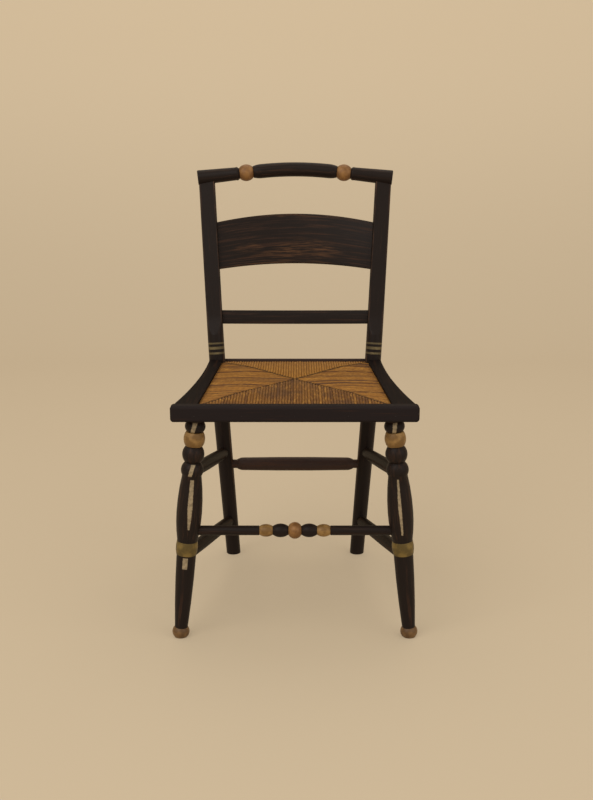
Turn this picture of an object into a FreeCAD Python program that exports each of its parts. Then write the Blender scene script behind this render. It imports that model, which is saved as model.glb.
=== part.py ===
"""A painted side chair with a rush seat, in the manner of American fancy chairs of about 1830.

The chair stands on the floor, z = 0, with x across it, y from front to back and z up. Its origin is on
the floor below the middle of its overall width and depth. Each stick, board and casing is a piece of its
own, joined as on the real chair: round tenons in bored sockets, bent boards let into mortises, and
casings nailed through the edge of the rush.
"""
import FreeCAD, Part
import math
import os
import re
from types import SimpleNamespace

import Sketcher

Vector = FreeCAD.Vector
Rotation = FreeCAD.Rotation
Placement = FreeCAD.Placement

ACROSS = Vector(1, 0, 0)
BACKWARD = Vector(0, 1, 0)
UP = Vector(0, 0, 1)
HALF_DIAGONAL = math.sqrt(0.5)
# The largest turn, in radians, between neighbouring flats of a turned profile
FLAT_TURN = 0.8
# Sides of a turned section, of a whittled peg and of a cut nail, and straight steps of a bent stick
TURNED_SIDES = 20
PEG_SIDES = 8
NAIL_SIDES = 4
BEND_STEPS = 6

# Driving sizes in millimetres. A half is measured from the chair's middle plane, a setback from its front
# face and a height or a drop straight up or down.
SIZES = {
    # Whole chair
    "overall_depth": 516.0,
    "seat_top": 460.0,
    "glue_gap": 0.15,
    "soft_gap": 0.3,
    "overrun": 5.0,
    # Rear posts
    "post_dia": 34.0,
    "post_foot_dia": 31.0,
    "post_foot_half": 140.0,
    "post_crest_half": 187.0,
    "post_setback": 394.0,
    "post_rake": 58.0,
    "post_bend_below_seat": 30.0,
    "post_bend_radius": 600.0,
    "post_flat_depth": 7.0,
    "post_flat_above_seat": 50.0,
    "post_flat_runout": 40.0,
    "post_tenon_dia": 14.0,
    "post_tenon_rise": 7.0,
    "post_saddle_drop": 6.0,
    # Crest rail
    "crest_above_seat": 375.0,
    "crest_apex_rise": 18.6,
    "crest_apex_bow": 17.4,
    "crest_overhang": 19.0,
    "crest_end_dia": 31.0,
    "crest_arm_dia": 27.0,
    "crest_crease_dia": 22.0,
    "crest_crease_len": 1.5,
    "crest_arm_shoulder_len": 6.0,
    "crest_end_round": 2.5,
    "crest_ball_half": 103.5,
    "crest_ball_dia": 35.0,
    "crest_ball_len": 29.0,
    "pillow_half": 72.0,
    "pillow_dia": 30.0,
    "pillow_shoulder_dia": 25.0,
    # Wide back slat
    "slat_low_above_seat": 184.0,
    "slat_high_above_seat": 279.5,
    "slat_low_arch": 17.0,
    "slat_high_arch": 25.0,
    "slat_thick": 9.0,
    "slat_bow": 28.0,
    # Lower back rail
    "bar_low_above_seat": 73.0,
    "bar_high_above_seat": 101.0,
    "bar_thick": 9.0,
    "bar_bow": 10.0,
    # Ends of the two boards in the posts, and the pegs that hold them
    "board_stop": 4.0,
    "peg_dia": 4.0,
    "peg_len": 15.0,
    "peg_inset": 6.0,
    # Front legs, from the seat frame to the floor
    "leg_setback": 36.0,
    "leg_foot_half": 217.3,
    "leg_top_half": 178.6,
    "leg_tenon_dia": 18.0,
    "leg_tenon_len": 15.0,
    "leg_crease_dia": 28.0,
    "leg_neck_dia": 28.0,
    "leg_neck_len": 6.0,
    "leg_top_bead_dia": 37.5,
    "leg_top_bead_len": 20.0,
    "leg_ring_dia": 39.0,
    "leg_ring_len": 27.0,
    "leg_ring_edge_dia": 32.0,
    "leg_ball_dia": 40.5,
    "leg_ball_len": 31.0,
    "leg_low_bead_dia": 41.0,
    "leg_low_bead_len": 25.0,
    "vase_neck_dia": 35.5,
    "vase_belly_dia": 47.2,
    "vase_belly_rise": 56.0,
    "vase_foot_dia": 37.5,
    "vase_len": 128.0,
    "leg_low_ring_dia": 41.0,
    "leg_low_ring_edge_dia": 38.0,
    "leg_low_ring_len": 26.0,
    "leg_edge_len": 0.8,
    "leg_knee_dia": 36.5,
    "leg_taper_swell": 1.2,
    "leg_ankle_dia": 24.5,
    "foot_ball_dia": 32.5,
    "foot_ball_base_dia": 23.0,
    "foot_ball_len": 20.0,
    # Stretchers, placed by the height of each end above the floor
    "tenon_stop": 5.0,
    "front_stretcher_height": 213.5,
    "front_stretcher_dia": 18.0,
    "stretcher_crease_dia": 16.0,
    "stretcher_crease_len": 1.0,
    "stretcher_ball_dia": 31.0,
    "stretcher_ball_len": 24.0,
    "stretcher_bead_dia": 25.5,
    "stretcher_bead_len": 29.0,
    "stretcher_end_ball_dia": 23.5,
    "stretcher_end_ball_len": 24.5,
    "rear_stretcher_height": 219.7,
    "upper_stretcher_front": 327.0,
    "upper_stretcher_rear": 247.0,
    "lower_stretcher_front": 165.0,
    "lower_stretcher_rear": 82.0,
    "stretcher_tenon_dia": 19.0,
    "stretcher_neck_len": 19.5,
    "stretcher_shoulder_len": 16.0,
    "stretcher_swell": 1.0,
    "rear_stretcher_dia": 30.0,
    "side_stretcher_dia": 26.0,
    # Seat frame, all of it inside the rush and the casings
    "seat_rail_thick": 16.0,
    "seat_rail_drop": 10.0,
    "seat_rail_round": 3.0,
    "side_rail_width": 18.0,
    "rear_rail_width": 16.0,
    "front_rail_width": 18.0,
    "front_rail_setback": 23.0,
    "side_rail_tenon_dia": 12.0,
    "side_rail_tenon_len": 10.0,
    "rear_rail_tenon_dia": 10.0,
    "rear_rail_tenon_len": 13.0,
    "rail_shoulder_gap": 1.2,
    "ear_setback": 14.0,
    "ear_depth": 50.0,
    "ear_width": 53.0,
    "ear_thick": 20.0,
    "ear_round": 5.0,
    # Rush seat
    "rush_wrap": 4.0,
    "rush_cover": 6.0,
    "rush_crown": 3.0,
    "rush_hollow": 2.0,
    "rush_middle_setback": 221.0,
    # Casings round the seat
    "strip_height": 30.0,
    "flange_thick": 5.5,
    "front_strip_depth": 20.0,
    "front_strip_wall": 10.0,
    "front_strip_past_side": 3.5,
    "front_strip_corner": 6.0,
    "front_strip_nose": 6.0,
    "side_strip_past_leg": 39.4,
    "side_strip_rear_proud": 0.7,
    "side_strip_inner_leg": 4.6,
    "side_strip_inner_post": 11.9,
    "side_strip_edge_round": 5.0,
    "rear_strip_thick": 5.0,
    "rear_strip_height": 22.0,
    "rear_strip_drop": 3.5,
    "rear_strip_edge_round": 2.0,
    "brad_dia": 2.0,
    "brad_len": 22.0,
}

# Places of the casings' nails, as shares of the rail that they go into
FRONT_BRAD_SHARE = 0.62
REAR_BRAD_SHARE = 0.66
SIDE_BRAD_SHARES = (0.25, 0.7)
# The rush's section: share of the full outline, then share of the way from the middle of the rolled edge
# out to its top or its underside
RUSH_ROLL_SHARES = ((1.0, 0.35), (0.985, 0.75), (0.94, 0.96))
RUSH_EDGE_SHARE = 0.89
RUSH_CROWN_SHARE = 0.6
RUSH_MIDDLE_SHARE = 0.02

doc = FreeCAD.newDocument("SideChair")
sizes = doc.addObject("Spreadsheet::Sheet", "Sizes")
names = []


def enter(values):
    """Adds named values to the sheet, one row each."""
    for name, number in values.items():
        names.append(name)
        row = len(names)
        sizes.set(f"A{row}", name)
        sizes.set(f"B{row}", repr(float(number)))
        sizes.setAlias(f"B{row}", name)
    doc.recompute()


def named(expression):
    """Points every size that an expression names at its cell in the sheet."""
    return re.sub(r"[a-z]\w*", lambda word: f"Sizes.{word[0]}" if word[0] in names else word[0], expression)


def value(expression):
    """The number that an expression of named sizes has."""
    return float(sizes.evalExpression(named(expression)))


def bend(start, corner, finish, radius):
    """A two-part line with its corner rounded: the arc's ends, centre and turn in degrees, and both ways."""
    first_way = (corner - start).normalize()
    way = (finish - corner).normalize()
    turn = first_way.getAngle(way)
    reach = radius * math.tan(turn / 2)
    first = corner - first_way * reach
    last = corner + way * reach
    inward = ((first + last) * 0.5 - corner).normalize()
    centre = corner + inward * (radius / math.cos(turn / 2))
    return SimpleNamespace(start=start, first=first, last=last, finish=finish, centre=centre,
                           turn=math.degrees(turn), first_way=first_way, way=way, radius=radius)


# Sketches and features
def origin_plane(body, role):
    """One of a body's own origin planes."""
    return next(part for part in body.Origin.OriginFeatures if part.Role == role)


def new_sketch(body, name, role, offset=None):
    """A sketch on one of a body's origin planes, moved and turned from it where an offset is given."""
    sketch = body.newObject("Sketcher::SketchObject", name)
    sketch.AttachmentSupport = (origin_plane(body, role), [""])
    sketch.MapMode = "FlatFace"
    if offset is not None:
        sketch.AttachmentOffset = offset
    return sketch


def arc_edge(start, end, bulge):
    """The arc from start to end that stands out by the bulge to the right of the way it runs."""
    chord = end - start
    radius = chord.Length ** 2 / (8 * abs(bulge)) + abs(bulge) / 2
    right = Vector(chord.y, -chord.x, 0).normalize()
    centre = (start + end) * 0.5 + right * (bulge - math.copysign(radius, bulge))
    begin, finish = (start, end) if bulge > 0 else (end, start)
    low = math.atan2(begin.y - centre.y, begin.x - centre.x)
    high = math.atan2(finish.y - centre.y, finish.x - centre.x)
    if high < low:
        high += 2 * math.pi
    return Part.ArcOfCircle(Part.Circle(centre, UP, radius), low, high)


def outline(sketch, rows):
    """Draws a closed outline and ties it to the sheet of sizes.

    Each row is a corner's place across and up, and the bulge of the edge that leaves it or None for a
    straight edge, all written in named sizes.
    """
    corners = [Vector(value(across), value(up), 0) for across, up, _ in rows]
    shapes = []
    ends = []
    for index, (_, _, bulge) in enumerate(rows):
        start, end = corners[index], corners[(index + 1) % len(rows)]
        if bulge is None:
            shapes.append(Part.LineSegment(start, end))
            ends.append((1, 2))
        else:
            shapes.append(arc_edge(start, end, value(bulge)))
            ends.append((1, 2) if value(bulge) > 0 else (2, 1))
    sketch.addGeometry(shapes, False)
    ties = []
    for index, (across, up, bulge) in enumerate(rows):
        following = (index + 1) % len(rows)
        near, far = ends[index]
        ties.append((Sketcher.Constraint("Coincident", index, far, following, ends[following][0]), None))
        ties.append((Sketcher.Constraint("DistanceX", -1, 1, index, near, corners[index].x), across))
        ties.append((Sketcher.Constraint("DistanceY", -1, 1, index, near, corners[index].y), up))
        if bulge is not None:
            width = f"(({rows[following][0]}) - ({across}))"
            height = f"(({rows[following][1]}) - ({up}))"
            radius = f"({width}^2 + {height}^2) / (8 * abs({bulge})) + abs({bulge}) / 2"
            ties.append((Sketcher.Constraint("Radius", index, shapes[index].Radius), radius))
    sketch.addConstraint([constraint for constraint, _ in ties])
    for index, (_, expression) in enumerate(ties):
        if expression is not None:
            sketch.setExpression(f"Constraints[{index}]", named(expression))


def flats(rows):
    """The same outline with every curved edge drawn as a few flats between points on the curve."""
    plain = []
    for index, (across, up, bulge) in enumerate(rows):
        plain.append((across, up, None))
        if bulge is None:
            continue
        run = f"(({rows[index + 1][0]}) - ({across}))"
        rise = f"(({rows[index + 1][1]}) - ({up}))"
        chord = f"sqrt({run}^2 + {rise}^2)"
        half = 2 * math.atan(2 * value(bulge) / value(chord))
        steps = max(2, math.ceil(2 * half / FLAT_TURN))
        for step in range(1, steps):
            turn = half * (2 * step / steps - 1)
            along = (1 + math.sin(turn) / math.sin(half)) / 2
            out = (math.cos(turn) - math.cos(half)) / (1 - math.cos(half))
            plain.append((f"{across} + {run} * {along:.4f} + ({bulge}) * {out:.4f} * {rise} / {chord}",
                          f"{up} + {rise} * {along:.4f} - ({bulge}) * {out:.4f} * {run} / {chord}", None))
    return plain


def circle(sketch, across, up, radius):
    """Draws a circle and ties it to the sheet of sizes."""
    centre = Vector(value(across), value(up), 0)
    sketch.addGeometry(Part.Circle(centre, UP, value(radius)), False)
    sketch.addConstraint([
        Sketcher.Constraint("DistanceX", -1, 1, 0, 3, centre.x),
        Sketcher.Constraint("DistanceY", -1, 1, 0, 3, centre.y),
        Sketcher.Constraint("Radius", 0, value(radius)),
    ])
    for index, expression in enumerate((across, up, radius)):
        sketch.setExpression(f"Constraints[{index}]", named(expression))


def rectangle(low_across, low_up, high_across, high_up):
    """Rows of an upright rectangle for an outline."""
    return [
        (low_across, low_up, None),
        (high_across, low_up, None),
        (high_across, high_up, None),
        (low_across, high_up, None),
    ]


def pad(body, name, sketch, length, both_ways=False):
    """Raises a sketch by a named length, or by half of it each way."""
    feature = body.newObject("PartDesign::Pad", name)
    feature.Profile = (sketch, [""])
    feature.SideType = "Symmetric" if both_ways else "One side"
    feature.setExpression("Length", named(length))
    return feature


def pocket(body, name, sketch, length, both_ways=False):
    """Cuts a sketch out of the body along the sketch's own z, or by half the length each way."""
    doc.recompute()
    before = body.Shape.Volume
    feature = body.newObject("PartDesign::Pocket", name)
    feature.Profile = (sketch, [""])
    feature.SideType = "Symmetric" if both_ways else "One side"
    feature.Reversed = not both_ways
    feature.setExpression("Length", named(length))
    doc.recompute()
    if body.Shape.Volume >= before:
        raise RuntimeError(f"{name} cuts nothing")
    return feature


def round_edges(body, name, radius, chosen):
    """Rounds those edges of the body as it stands that a test picks out."""
    doc.recompute()
    base = body.Tip
    edges = [f"Edge{index}" for index, edge in enumerate(base.Shape.Edges, 1) if chosen(edge)]
    feature = body.newObject("PartDesign::Fillet", name)
    feature.Base = (base, edges)
    feature.setExpression("Radius", named(radius))
    return feature


def runs_along(edge, way):
    """Whether an edge is straight and parallel to a direction."""
    straight = edge.Curve.TypeId == "Part::GeomLine"
    return straight and edge.tangentAt(edge.FirstParameter).cross(way).Length < 1e-6


def mirror_feature(body, name, feature):
    """The same feature on the other side of the body's middle plane."""
    other = body.newObject("PartDesign::Mirrored", name)
    other.Originals = [feature]
    other.MirrorPlane = (origin_plane(body, "YZ_Plane"), [""])
    body.Tip = other


def stick(name, sections):
    """A round stick, straight or bent: a loft through sections, each of a radius and in a frame of its own."""
    rims = []
    for index, (radius, place) in enumerate(sections, 1):
        rim = doc.addObject("Part::RegularPolygon", f"{name}_section_{index}")
        rim.Polygon = TURNED_SIDES
        rim.setExpression("Circumradius", named(radius))
        rim.Placement = place
        rims.append(rim)
    loft = doc.addObject("Part::Loft", name)
    loft.Sections = rims
    loft.Solid = True
    loft.Ruled = True
    loft.Linearize = True
    return loft


def turning(rows, place):
    """The sections of a lathe-turned length: rows of station, radius and bulge, and the lathe's frame."""
    profile = flats([(radius, station, bulge) for station, radius, bulge in rows])
    return [(radius, place.multiply(Placement(UP * value(station), Rotation())))
            for radius, station, _ in profile]


def turned(name, rows, place):
    """A lathe-turned piece: rows of station, radius and bulge from its lower end, and its own frame."""
    return stick(name, turning(rows, place))


def rod(name, start, way, radius, length, sides=TURNED_SIDES):
    """A pin, or the cutter for its hole, from a start point along a direction."""
    pin = doc.addObject("Part::Prism", name)
    pin.Polygon = sides
    pin.setExpression("Circumradius", named(radius))
    pin.setExpression("Height", named(length))
    pin.Placement = Placement(start, Rotation(UP, way))
    return pin


def block(name, place, length, width, height):
    """A square-edged cutter whose lowest corner stands at a point or in a frame."""
    tool = doc.addObject("Part::Box", name)
    tool.setExpression("Length", named(length))
    tool.setExpression("Width", named(width))
    tool.setExpression("Height", named(height))
    tool.Placement = place if isinstance(place, Placement) else Placement(place, Rotation())
    return tool


def cut(name, base, tools):
    """A piece with its sockets, mortises or notches cut."""
    result = doc.addObject("Part::Cut", name)
    result.Base = base
    result.Tool = tools[0]
    if len(tools) > 1:
        result.Tool = doc.addObject("Part::MultiFuse", name + "_tools")
        result.Tool.Shapes = tools
    return result


def fused(name, base, addition):
    """Two solids that are one piece of wood."""
    result = doc.addObject("Part::Fuse", name)
    result.Base = base
    result.Tool = addition
    return result


def mirrored(name, source):
    """The same piece for the other side of the chair."""
    result = doc.addObject("Part::Mirroring", name)
    result.Source = source
    result.Base = Vector()
    result.Normal = ACROSS
    return result


def grouped(name, pieces):
    """Alike fasteners, each still a solid of its own."""
    result = doc.addObject("Part::Compound", name)
    result.Links = pieces
    return result


def other_side(point):
    """The same point or direction on the other side of the chair."""
    return Vector(-point.x, point.y, point.z)


# Axes of a rear post and of a front leg, on the side where x is positive
def post_rise():
    """Length along a post for each millimetre of height, from its splay."""
    return 1 / math.cos(math.radians(sizes.post_splay))


def post_bend():
    """A rear post's bent axis in the post's own upright plane: y from its corner, then height along it."""
    corner = Vector(0, sizes.bend_z * post_rise(), 0)
    crest = Vector(sizes.post_lean, sizes.crest_z * post_rise(), 0)
    return bend(Vector(sizes.post_rake, 0, 0), corner, crest, sizes.post_bend_radius)


def post_place():
    """Where a rear post's own frame stands."""
    return Placement(Vector(sizes.post_foot_half, sizes.post_y, 0), Rotation(BACKWARD, sizes.post_splay))


def post_point(height):
    """The point of the post's axis at a height above the floor."""
    axis = post_bend()
    along = height * post_rise()
    if along < axis.first.y:
        back = axis.first.x + (along - axis.first.y) * axis.first_way.x / axis.first_way.y
    elif along > axis.last.y:
        back = axis.last.x + (along - axis.last.y) * axis.way.x / axis.way.y
    else:
        back = axis.centre.x - math.sqrt(axis.radius ** 2 - (along - axis.centre.y) ** 2)
    return post_place().multVec(Vector(0, back, along))


def post_way(height):
    """The direction of the post's axis at a height, upwards."""
    step = sizes.post_dia / 2
    return (post_point(height + step) - post_point(height - step)).normalize()


def leg_point(height):
    """The point of the front leg's axis at a height above the floor."""
    across = sizes.leg_foot_half - height * math.tan(math.radians(sizes.leg_splay))
    return Vector(across, sizes.leg_y, height)


def leg_way():
    """The direction of the front leg's axis, upwards."""
    return (leg_point(sizes.ear_low) - leg_point(0)).normalize()


def back_frame(height):
    """The plane of the back at a height: x across, y backwards square to the posts, z up along them."""
    point = post_point(height)
    top = post_point(sizes.crest_z)
    lean = math.atan2(top.y - point.y, top.z - point.z)
    return Placement(Vector(0, point.y, height), Rotation(ACROSS, -math.degrees(lean)))


def inset(start, end, stop):
    """The line from start to end, shortened by the stop at each end."""
    way = (end - start).normalize()
    return start + way * stop, end - way * stop


# Sizes that follow from the driving ones
def levels(s):
    """Heights, depths and angles that follow from the driving sizes."""
    crest_z = s.seat_top + s.crest_above_seat
    apex = math.hypot(s.crest_apex_rise, s.crest_apex_bow)
    slope = math.atan2(apex, s.post_crest_half)
    bend_radius = s.pillow_half / math.sin(slope)
    middle_share = 1 - bend_radius * (1 / math.cos(slope) - 1) / apex
    front_y = -s.overall_depth / 2
    post_y = front_y + s.post_setback
    ear_low = s.seat_top - s.strip_height
    splay = math.atan2(s.leg_foot_half - s.leg_top_half, ear_low)
    side_front_half = s.leg_top_half + s.side_strip_past_leg
    at_neck = ear_low / math.cos(splay) - s.leg_neck_len
    at_top_bead = at_neck - s.leg_top_bead_len
    at_ring = at_top_bead - s.leg_ring_len
    at_ball = at_ring - s.leg_ball_len
    at_low_bead = at_ball - s.leg_low_bead_len
    at_vase = at_low_bead - s.vase_len
    return {
        "front_y": front_y,
        "post_y": post_y,
        "bend_z": s.seat_top - s.post_bend_below_seat,
        "crest_z": crest_z,
        "post_splay": math.degrees(math.atan2(s.post_crest_half - s.post_foot_half, crest_z)),
        "post_lean": s.overall_depth / 2 - s.pillow_dia / 2 - middle_share * s.crest_apex_bow - post_y,
        "crest_apex": apex,
        "crest_slope": math.degrees(slope),
        "crest_tilt": math.degrees(math.atan2(s.crest_apex_bow, s.crest_apex_rise)),
        "pillow_bend_radius": bend_radius,
        "arm_to_ball": (s.crest_ball_half - s.pillow_half) / math.cos(slope),
        "arm_to_end": (s.post_crest_half + s.crest_overhang - s.pillow_half) / math.cos(slope),
        "ear_low": ear_low,
        "rail_z": s.seat_top - s.seat_rail_drop - s.seat_rail_thick / 2,
        "casing_y": front_y + s.front_strip_depth,
        "leg_y": front_y + s.leg_setback,
        "leg_splay": math.degrees(splay),
        "leg_len": ear_low / math.cos(splay),
        "at_neck": at_neck,
        "at_top_bead": at_top_bead,
        "at_ring": at_ring,
        "at_ball": at_ball,
        "at_low_bead": at_low_bead,
        "at_vase": at_vase,
        "at_low_ring": at_vase - s.leg_low_ring_len,
        "side_strip_front_half": side_front_half,
        "side_strip_inner_front": s.leg_top_half - s.side_strip_inner_leg,
        "front_strip_half": side_front_half + s.front_strip_past_side,
    }


def post_lengths():
    """Lengths of a post's parts, and where the post stands at the seat rails."""
    axis = post_bend()
    at_rail = post_point(sizes.rail_z)
    flat_height = (sizes.seat_top + sizes.post_flat_above_seat) * post_rise()
    return {
        "post_high_len": (axis.finish - axis.last).Length,
        "post_flat_start": (flat_height - axis.last.y) / axis.way.y,
        "rear_y": at_rail.y,
        "rear_half": at_rail.x,
        "side_strip_inner_rear": at_rail.x - sizes.side_strip_inner_post,
    }


def rush_edges():
    """The rush's outer edge: half widths and depths of its front and rear corners."""
    front_y = sizes.front_y + sizes.front_strip_wall + sizes.soft_gap
    rear_y = sizes.rear_y + sizes.rear_rail_width / 2 + sizes.rush_wrap
    beyond = sizes.rush_cover + sizes.side_rail_width / 2 + sizes.rush_wrap
    widening = (sizes.side_strip_inner_front - sizes.side_strip_inner_rear) / (sizes.rear_y - sizes.casing_y)
    return {
        "rush_front_y": front_y,
        "rush_rear_y": rear_y,
        "rush_middle_y": sizes.front_y + sizes.rush_middle_setback,
        "rush_front_half": sizes.side_strip_inner_rear + beyond + widening * (sizes.rear_y - front_y),
        "rush_rear_half": sizes.side_strip_inner_rear + beyond + widening * (sizes.rear_y - rear_y),
        "nose_front_half": sizes.side_strip_inner_front + beyond + sizes.soft_gap,
        "nose_rear_half": sizes.side_strip_inner_rear + beyond + sizes.soft_gap,
    }


def board_sizes(key):
    """Half lengths, heights and radius of a bent board of the back, by the name that its sizes share."""
    low = sizes.seat_top + sizes.get(key + "_low_above_seat")
    high = sizes.seat_top + sizes.get(key + "_high_above_seat")
    bow = sizes.get(key + "_bow")
    middle = (low + high) / 2
    rise = 1 / back_frame(middle).Rotation.multVec(UP).z
    half_high = post_point(high).x - sizes.board_stop
    return {
        key + "_middle_z": middle,
        key + "_half_low": post_point(low).x - sizes.board_stop,
        key + "_half_high": half_high,
        key + "_reach": (high - low) / 2 * rise,
        key + "_radius": (half_high ** 2 + bow ** 2) / (2 * bow),
    }


def on_side_rail(depth):
    """The point of the right side rail's middle line at a depth."""
    share = (sizes.rear_y - depth) / (sizes.rear_y - sizes.casing_y)
    inner = sizes.side_strip_inner_rear
    inner += (sizes.side_strip_inner_front - sizes.side_strip_inner_rear) * share
    return Vector(inner + sizes.rush_cover, depth, sizes.rail_z)


def stick_lines():
    """The middle lines of the stretchers and rails on the right side or across the chair, end to end."""
    post_rear = post_point(sizes.rear_stretcher_height)
    front = leg_point(sizes.front_stretcher_height)
    shoulder = sizes.post_dia / 2 + sizes.rail_shoulder_gap
    right = Vector(sizes.rear_half - shoulder, sizes.rear_y, sizes.rail_z)
    ear_back = sizes.front_y + sizes.ear_setback + sizes.ear_depth + sizes.rail_shoulder_gap
    return {
        "front_stretcher": inset(other_side(front), front, sizes.tenon_stop),
        "rear_stretcher": inset(other_side(post_rear), post_rear, sizes.tenon_stop),
        "upper_stretcher": inset(leg_point(sizes.upper_stretcher_front),
                                 post_point(sizes.upper_stretcher_rear), sizes.tenon_stop),
        "lower_stretcher": inset(leg_point(sizes.lower_stretcher_front),
                                 post_point(sizes.lower_stretcher_rear), sizes.tenon_stop),
        "rear_rail": (other_side(right), right),
        "side_rail": (on_side_rail(sizes.rear_y - shoulder), on_side_rail(ear_back)),
    }


enter(SIZES)
enter(levels(sizes))
enter(post_lengths())
enter(rush_edges())
enter(board_sizes("slat"))
enter(board_sizes("bar"))
LINES = stick_lines()
enter({key + "_len": (end - start).Length for key, (start, end) in LINES.items()})


# Joints
def sockets(key, radius, tenon_len="0"):
    """The two bored sockets for a stick's ends, each a little wider and deeper than its tenon."""
    start, end = LINES[key]
    way = (end - start).normalize()
    reach = value(tenon_len) + sizes.glue_gap
    length = f"{tenon_len} + post_dia"
    return (rod(key + "_start_socket", start - way * reach, way, radius + " + glue_gap", length),
            rod(key + "_end_socket", end + way * reach, -way, radius + " + glue_gap", length))


def leg_tenon(name, gap):
    """The round tenon on top of the right front leg, or with a gap the socket for it."""
    base = leg_point(sizes.ear_low) - leg_way() * sizes.leg_neck_len
    return rod(name, base, leg_way(), f"leg_tenon_dia / 2 + {gap}", f"leg_neck_len + leg_tenon_len + {gap}")


def post_cope(name):
    """The outside of the right post at the seat, with a gap, to shape whatever meets it there."""
    height = sizes.seat_top - sizes.strip_height / 2
    way = post_way(height)
    start = post_point(height) - way * sizes.strip_height
    return rod(name, start, way, "post_dia / 2 + soft_gap", "2 * strip_height")


def peg_spots():
    """Where the right-hand pegs of the back start, at the back of the wood, and the way they go in."""
    spots = {}
    for key in ("slat", "bar"):
        height = sizes.get(key + "_middle_z")
        frame = back_frame(height)
        from_axis = sizes.board_stop + sizes.peg_inset
        surface = math.sqrt((sizes.post_dia / 2) ** 2 - (from_axis + sizes.peg_dia / 2) ** 2)
        start = frame.multVec(Vector(post_point(height).x - from_axis, surface, 0))
        spots[key] = (start, frame.Rotation.multVec(-BACKWARD))
    into = back_frame(sizes.slat_middle_z).Rotation.multVec(-BACKWARD)
    surface = math.sqrt((sizes.crest_end_dia / 2) ** 2 - (sizes.peg_dia / 2) ** 2)
    spots["crest"] = (post_point(sizes.crest_z) - into * surface, into)
    return spots


def peg(key, side, hole):
    """One peg of the back, or the hole for it, on the right side or the left."""
    start, way = peg_spots()[key]
    if side == "left":
        start, way = other_side(start), other_side(way)
    if not hole:
        return rod(f"{key}_peg_{side}", start, way, "peg_dia / 2", "peg_len", PEG_SIDES)
    return rod(f"{key}_peg_hole_{side}", start - way * sizes.overrun, way, "peg_dia / 2 + glue_gap",
               "peg_len + overrun + glue_gap", PEG_SIDES)


def side_strip_face(depth):
    """How far out the right casing's outer face stands at a depth: a flare that leaves the post straight."""
    rear = sizes.rear_half + sizes.post_dia / 2 + sizes.side_strip_rear_proud
    share = (sizes.rear_y - depth) / (sizes.rear_y - sizes.casing_y)
    return rear + (sizes.side_strip_front_half - rear) * share ** 2


def brad_spots():
    """Start and direction of every nail of the casings, by the rail that it goes into."""
    half = sizes.leg_top_half - sizes.ear_width / 2
    back_y = sizes.rush_rear_y + sizes.soft_gap + sizes.rear_strip_thick
    front = [Vector(across, sizes.front_y, sizes.rail_z)
             for across in (-half * FRONT_BRAD_SHARE, 0, half * FRONT_BRAD_SHARE)]
    ears = [Vector(across, sizes.front_y, sizes.rail_z)
            for across in (-sizes.leg_top_half, sizes.leg_top_half)]
    rear = [Vector(across, back_y, sizes.rail_z)
            for across in (-sizes.rear_half * REAR_BRAD_SHARE, 0, sizes.rear_half * REAR_BRAD_SHARE)]
    rail_rear, rail_front = LINES["side_rail"]
    depths = [rail_rear.y + (rail_front.y - rail_rear.y) * share for share in SIDE_BRAD_SHARES]
    side = [Vector(side_strip_face(depth), depth, sizes.rail_z) for depth in depths]
    side_ear = Vector(side_strip_face(sizes.leg_y), sizes.leg_y, sizes.rail_z)
    return {
        "front": [(point, BACKWARD) for point in front],
        "front_ear": [(point, BACKWARD) for point in ears],
        "rear": [(point, -BACKWARD) for point in rear],
        "right": [(point, -ACROSS) for point in side],
        "right_ear": [(side_ear, -ACROSS)],
        "left": [(other_side(point), ACROSS) for point in side],
        "left_ear": [(other_side(side_ear), ACROSS)],
    }


def brads(keys, gap=None):
    """The nails at some of the spots, or the holes for them with a gap all round."""
    made = []
    for key in keys:
        for index, (start, way) in enumerate(brad_spots()[key], 1):
            if gap is None:
                made.append(rod(f"{key}_brad_{index}", start, way, "brad_dia / 2", "brad_len", NAIL_SIDES))
            else:
                made.append(rod(f"{key}_brad_hole_{index}", start - way * sizes.overrun, way,
                                f"brad_dia / 2 + {gap}", f"brad_len + overrun + {gap}", NAIL_SIDES))
    return made


# Back
def post_blank():
    """A rear post before its joints: a tapered foot, one bend and a straight upper part."""
    axis = post_bend()
    spoke = axis.first - axis.centre
    spine = [("post_foot_dia / 2", axis.start - axis.first_way * sizes.overrun, 0)]
    for step in range(BEND_STEPS + 1):
        turn = axis.turn * step / BEND_STEPS
        spine.append(("post_dia / 2", axis.centre + Rotation(UP, -turn).multVec(spoke), turn))
    saddle = axis.finish - axis.way * sizes.post_saddle_drop
    spine.append(("post_dia / 2", saddle, axis.turn))
    sections = []
    for radius, point, turn in spine:
        way = Rotation(UP, -turn).multVec(axis.first_way)
        normal = Vector(0, way.x, way.y)
        place = Placement(Vector(0, point.x, point.y),
                          Rotation(ACROSS, normal.cross(ACROSS), normal, "ZXY"))
        sections.append((radius, post_place().multiply(place)))
    return stick("PostBlank", sections)


def post_flat():
    """The wood that is shaved off the front of the right post above the seat, with a rounded start."""
    body = doc.addObject("PartDesign::Body", "PostFlat")
    axis = post_bend()
    lean = math.degrees(math.atan2(-axis.way.x, axis.way.y))
    sketch = new_sketch(body, "post_flat_profile", "YZ_Plane", Placement(axis.last, Rotation(UP, lean)))
    outline(sketch, [
        ("-post_dia / 2 - overrun", "post_flat_start", None),
        ("-post_dia / 2", "post_flat_start", "(post_dia / 2 - post_flat_depth) / 4"),
        ("-post_flat_depth", "post_flat_start + post_flat_runout", None),
        ("-post_flat_depth", "post_high_len", None),
        ("-post_dia / 2 - overrun", "post_high_len", None),
    ])
    pad(body, "post_flat", sketch, "post_dia + overrun", both_ways=True)
    body.Placement = post_place()
    return body


def crest_place():
    """The plane of the crest's bend, in which it rises and bows backwards at once from the post tops."""
    ends = post_point(sizes.crest_z)
    return Placement(Vector(0, ends.y, sizes.crest_z), Rotation(ACROSS, -sizes.crest_tilt))


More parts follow.
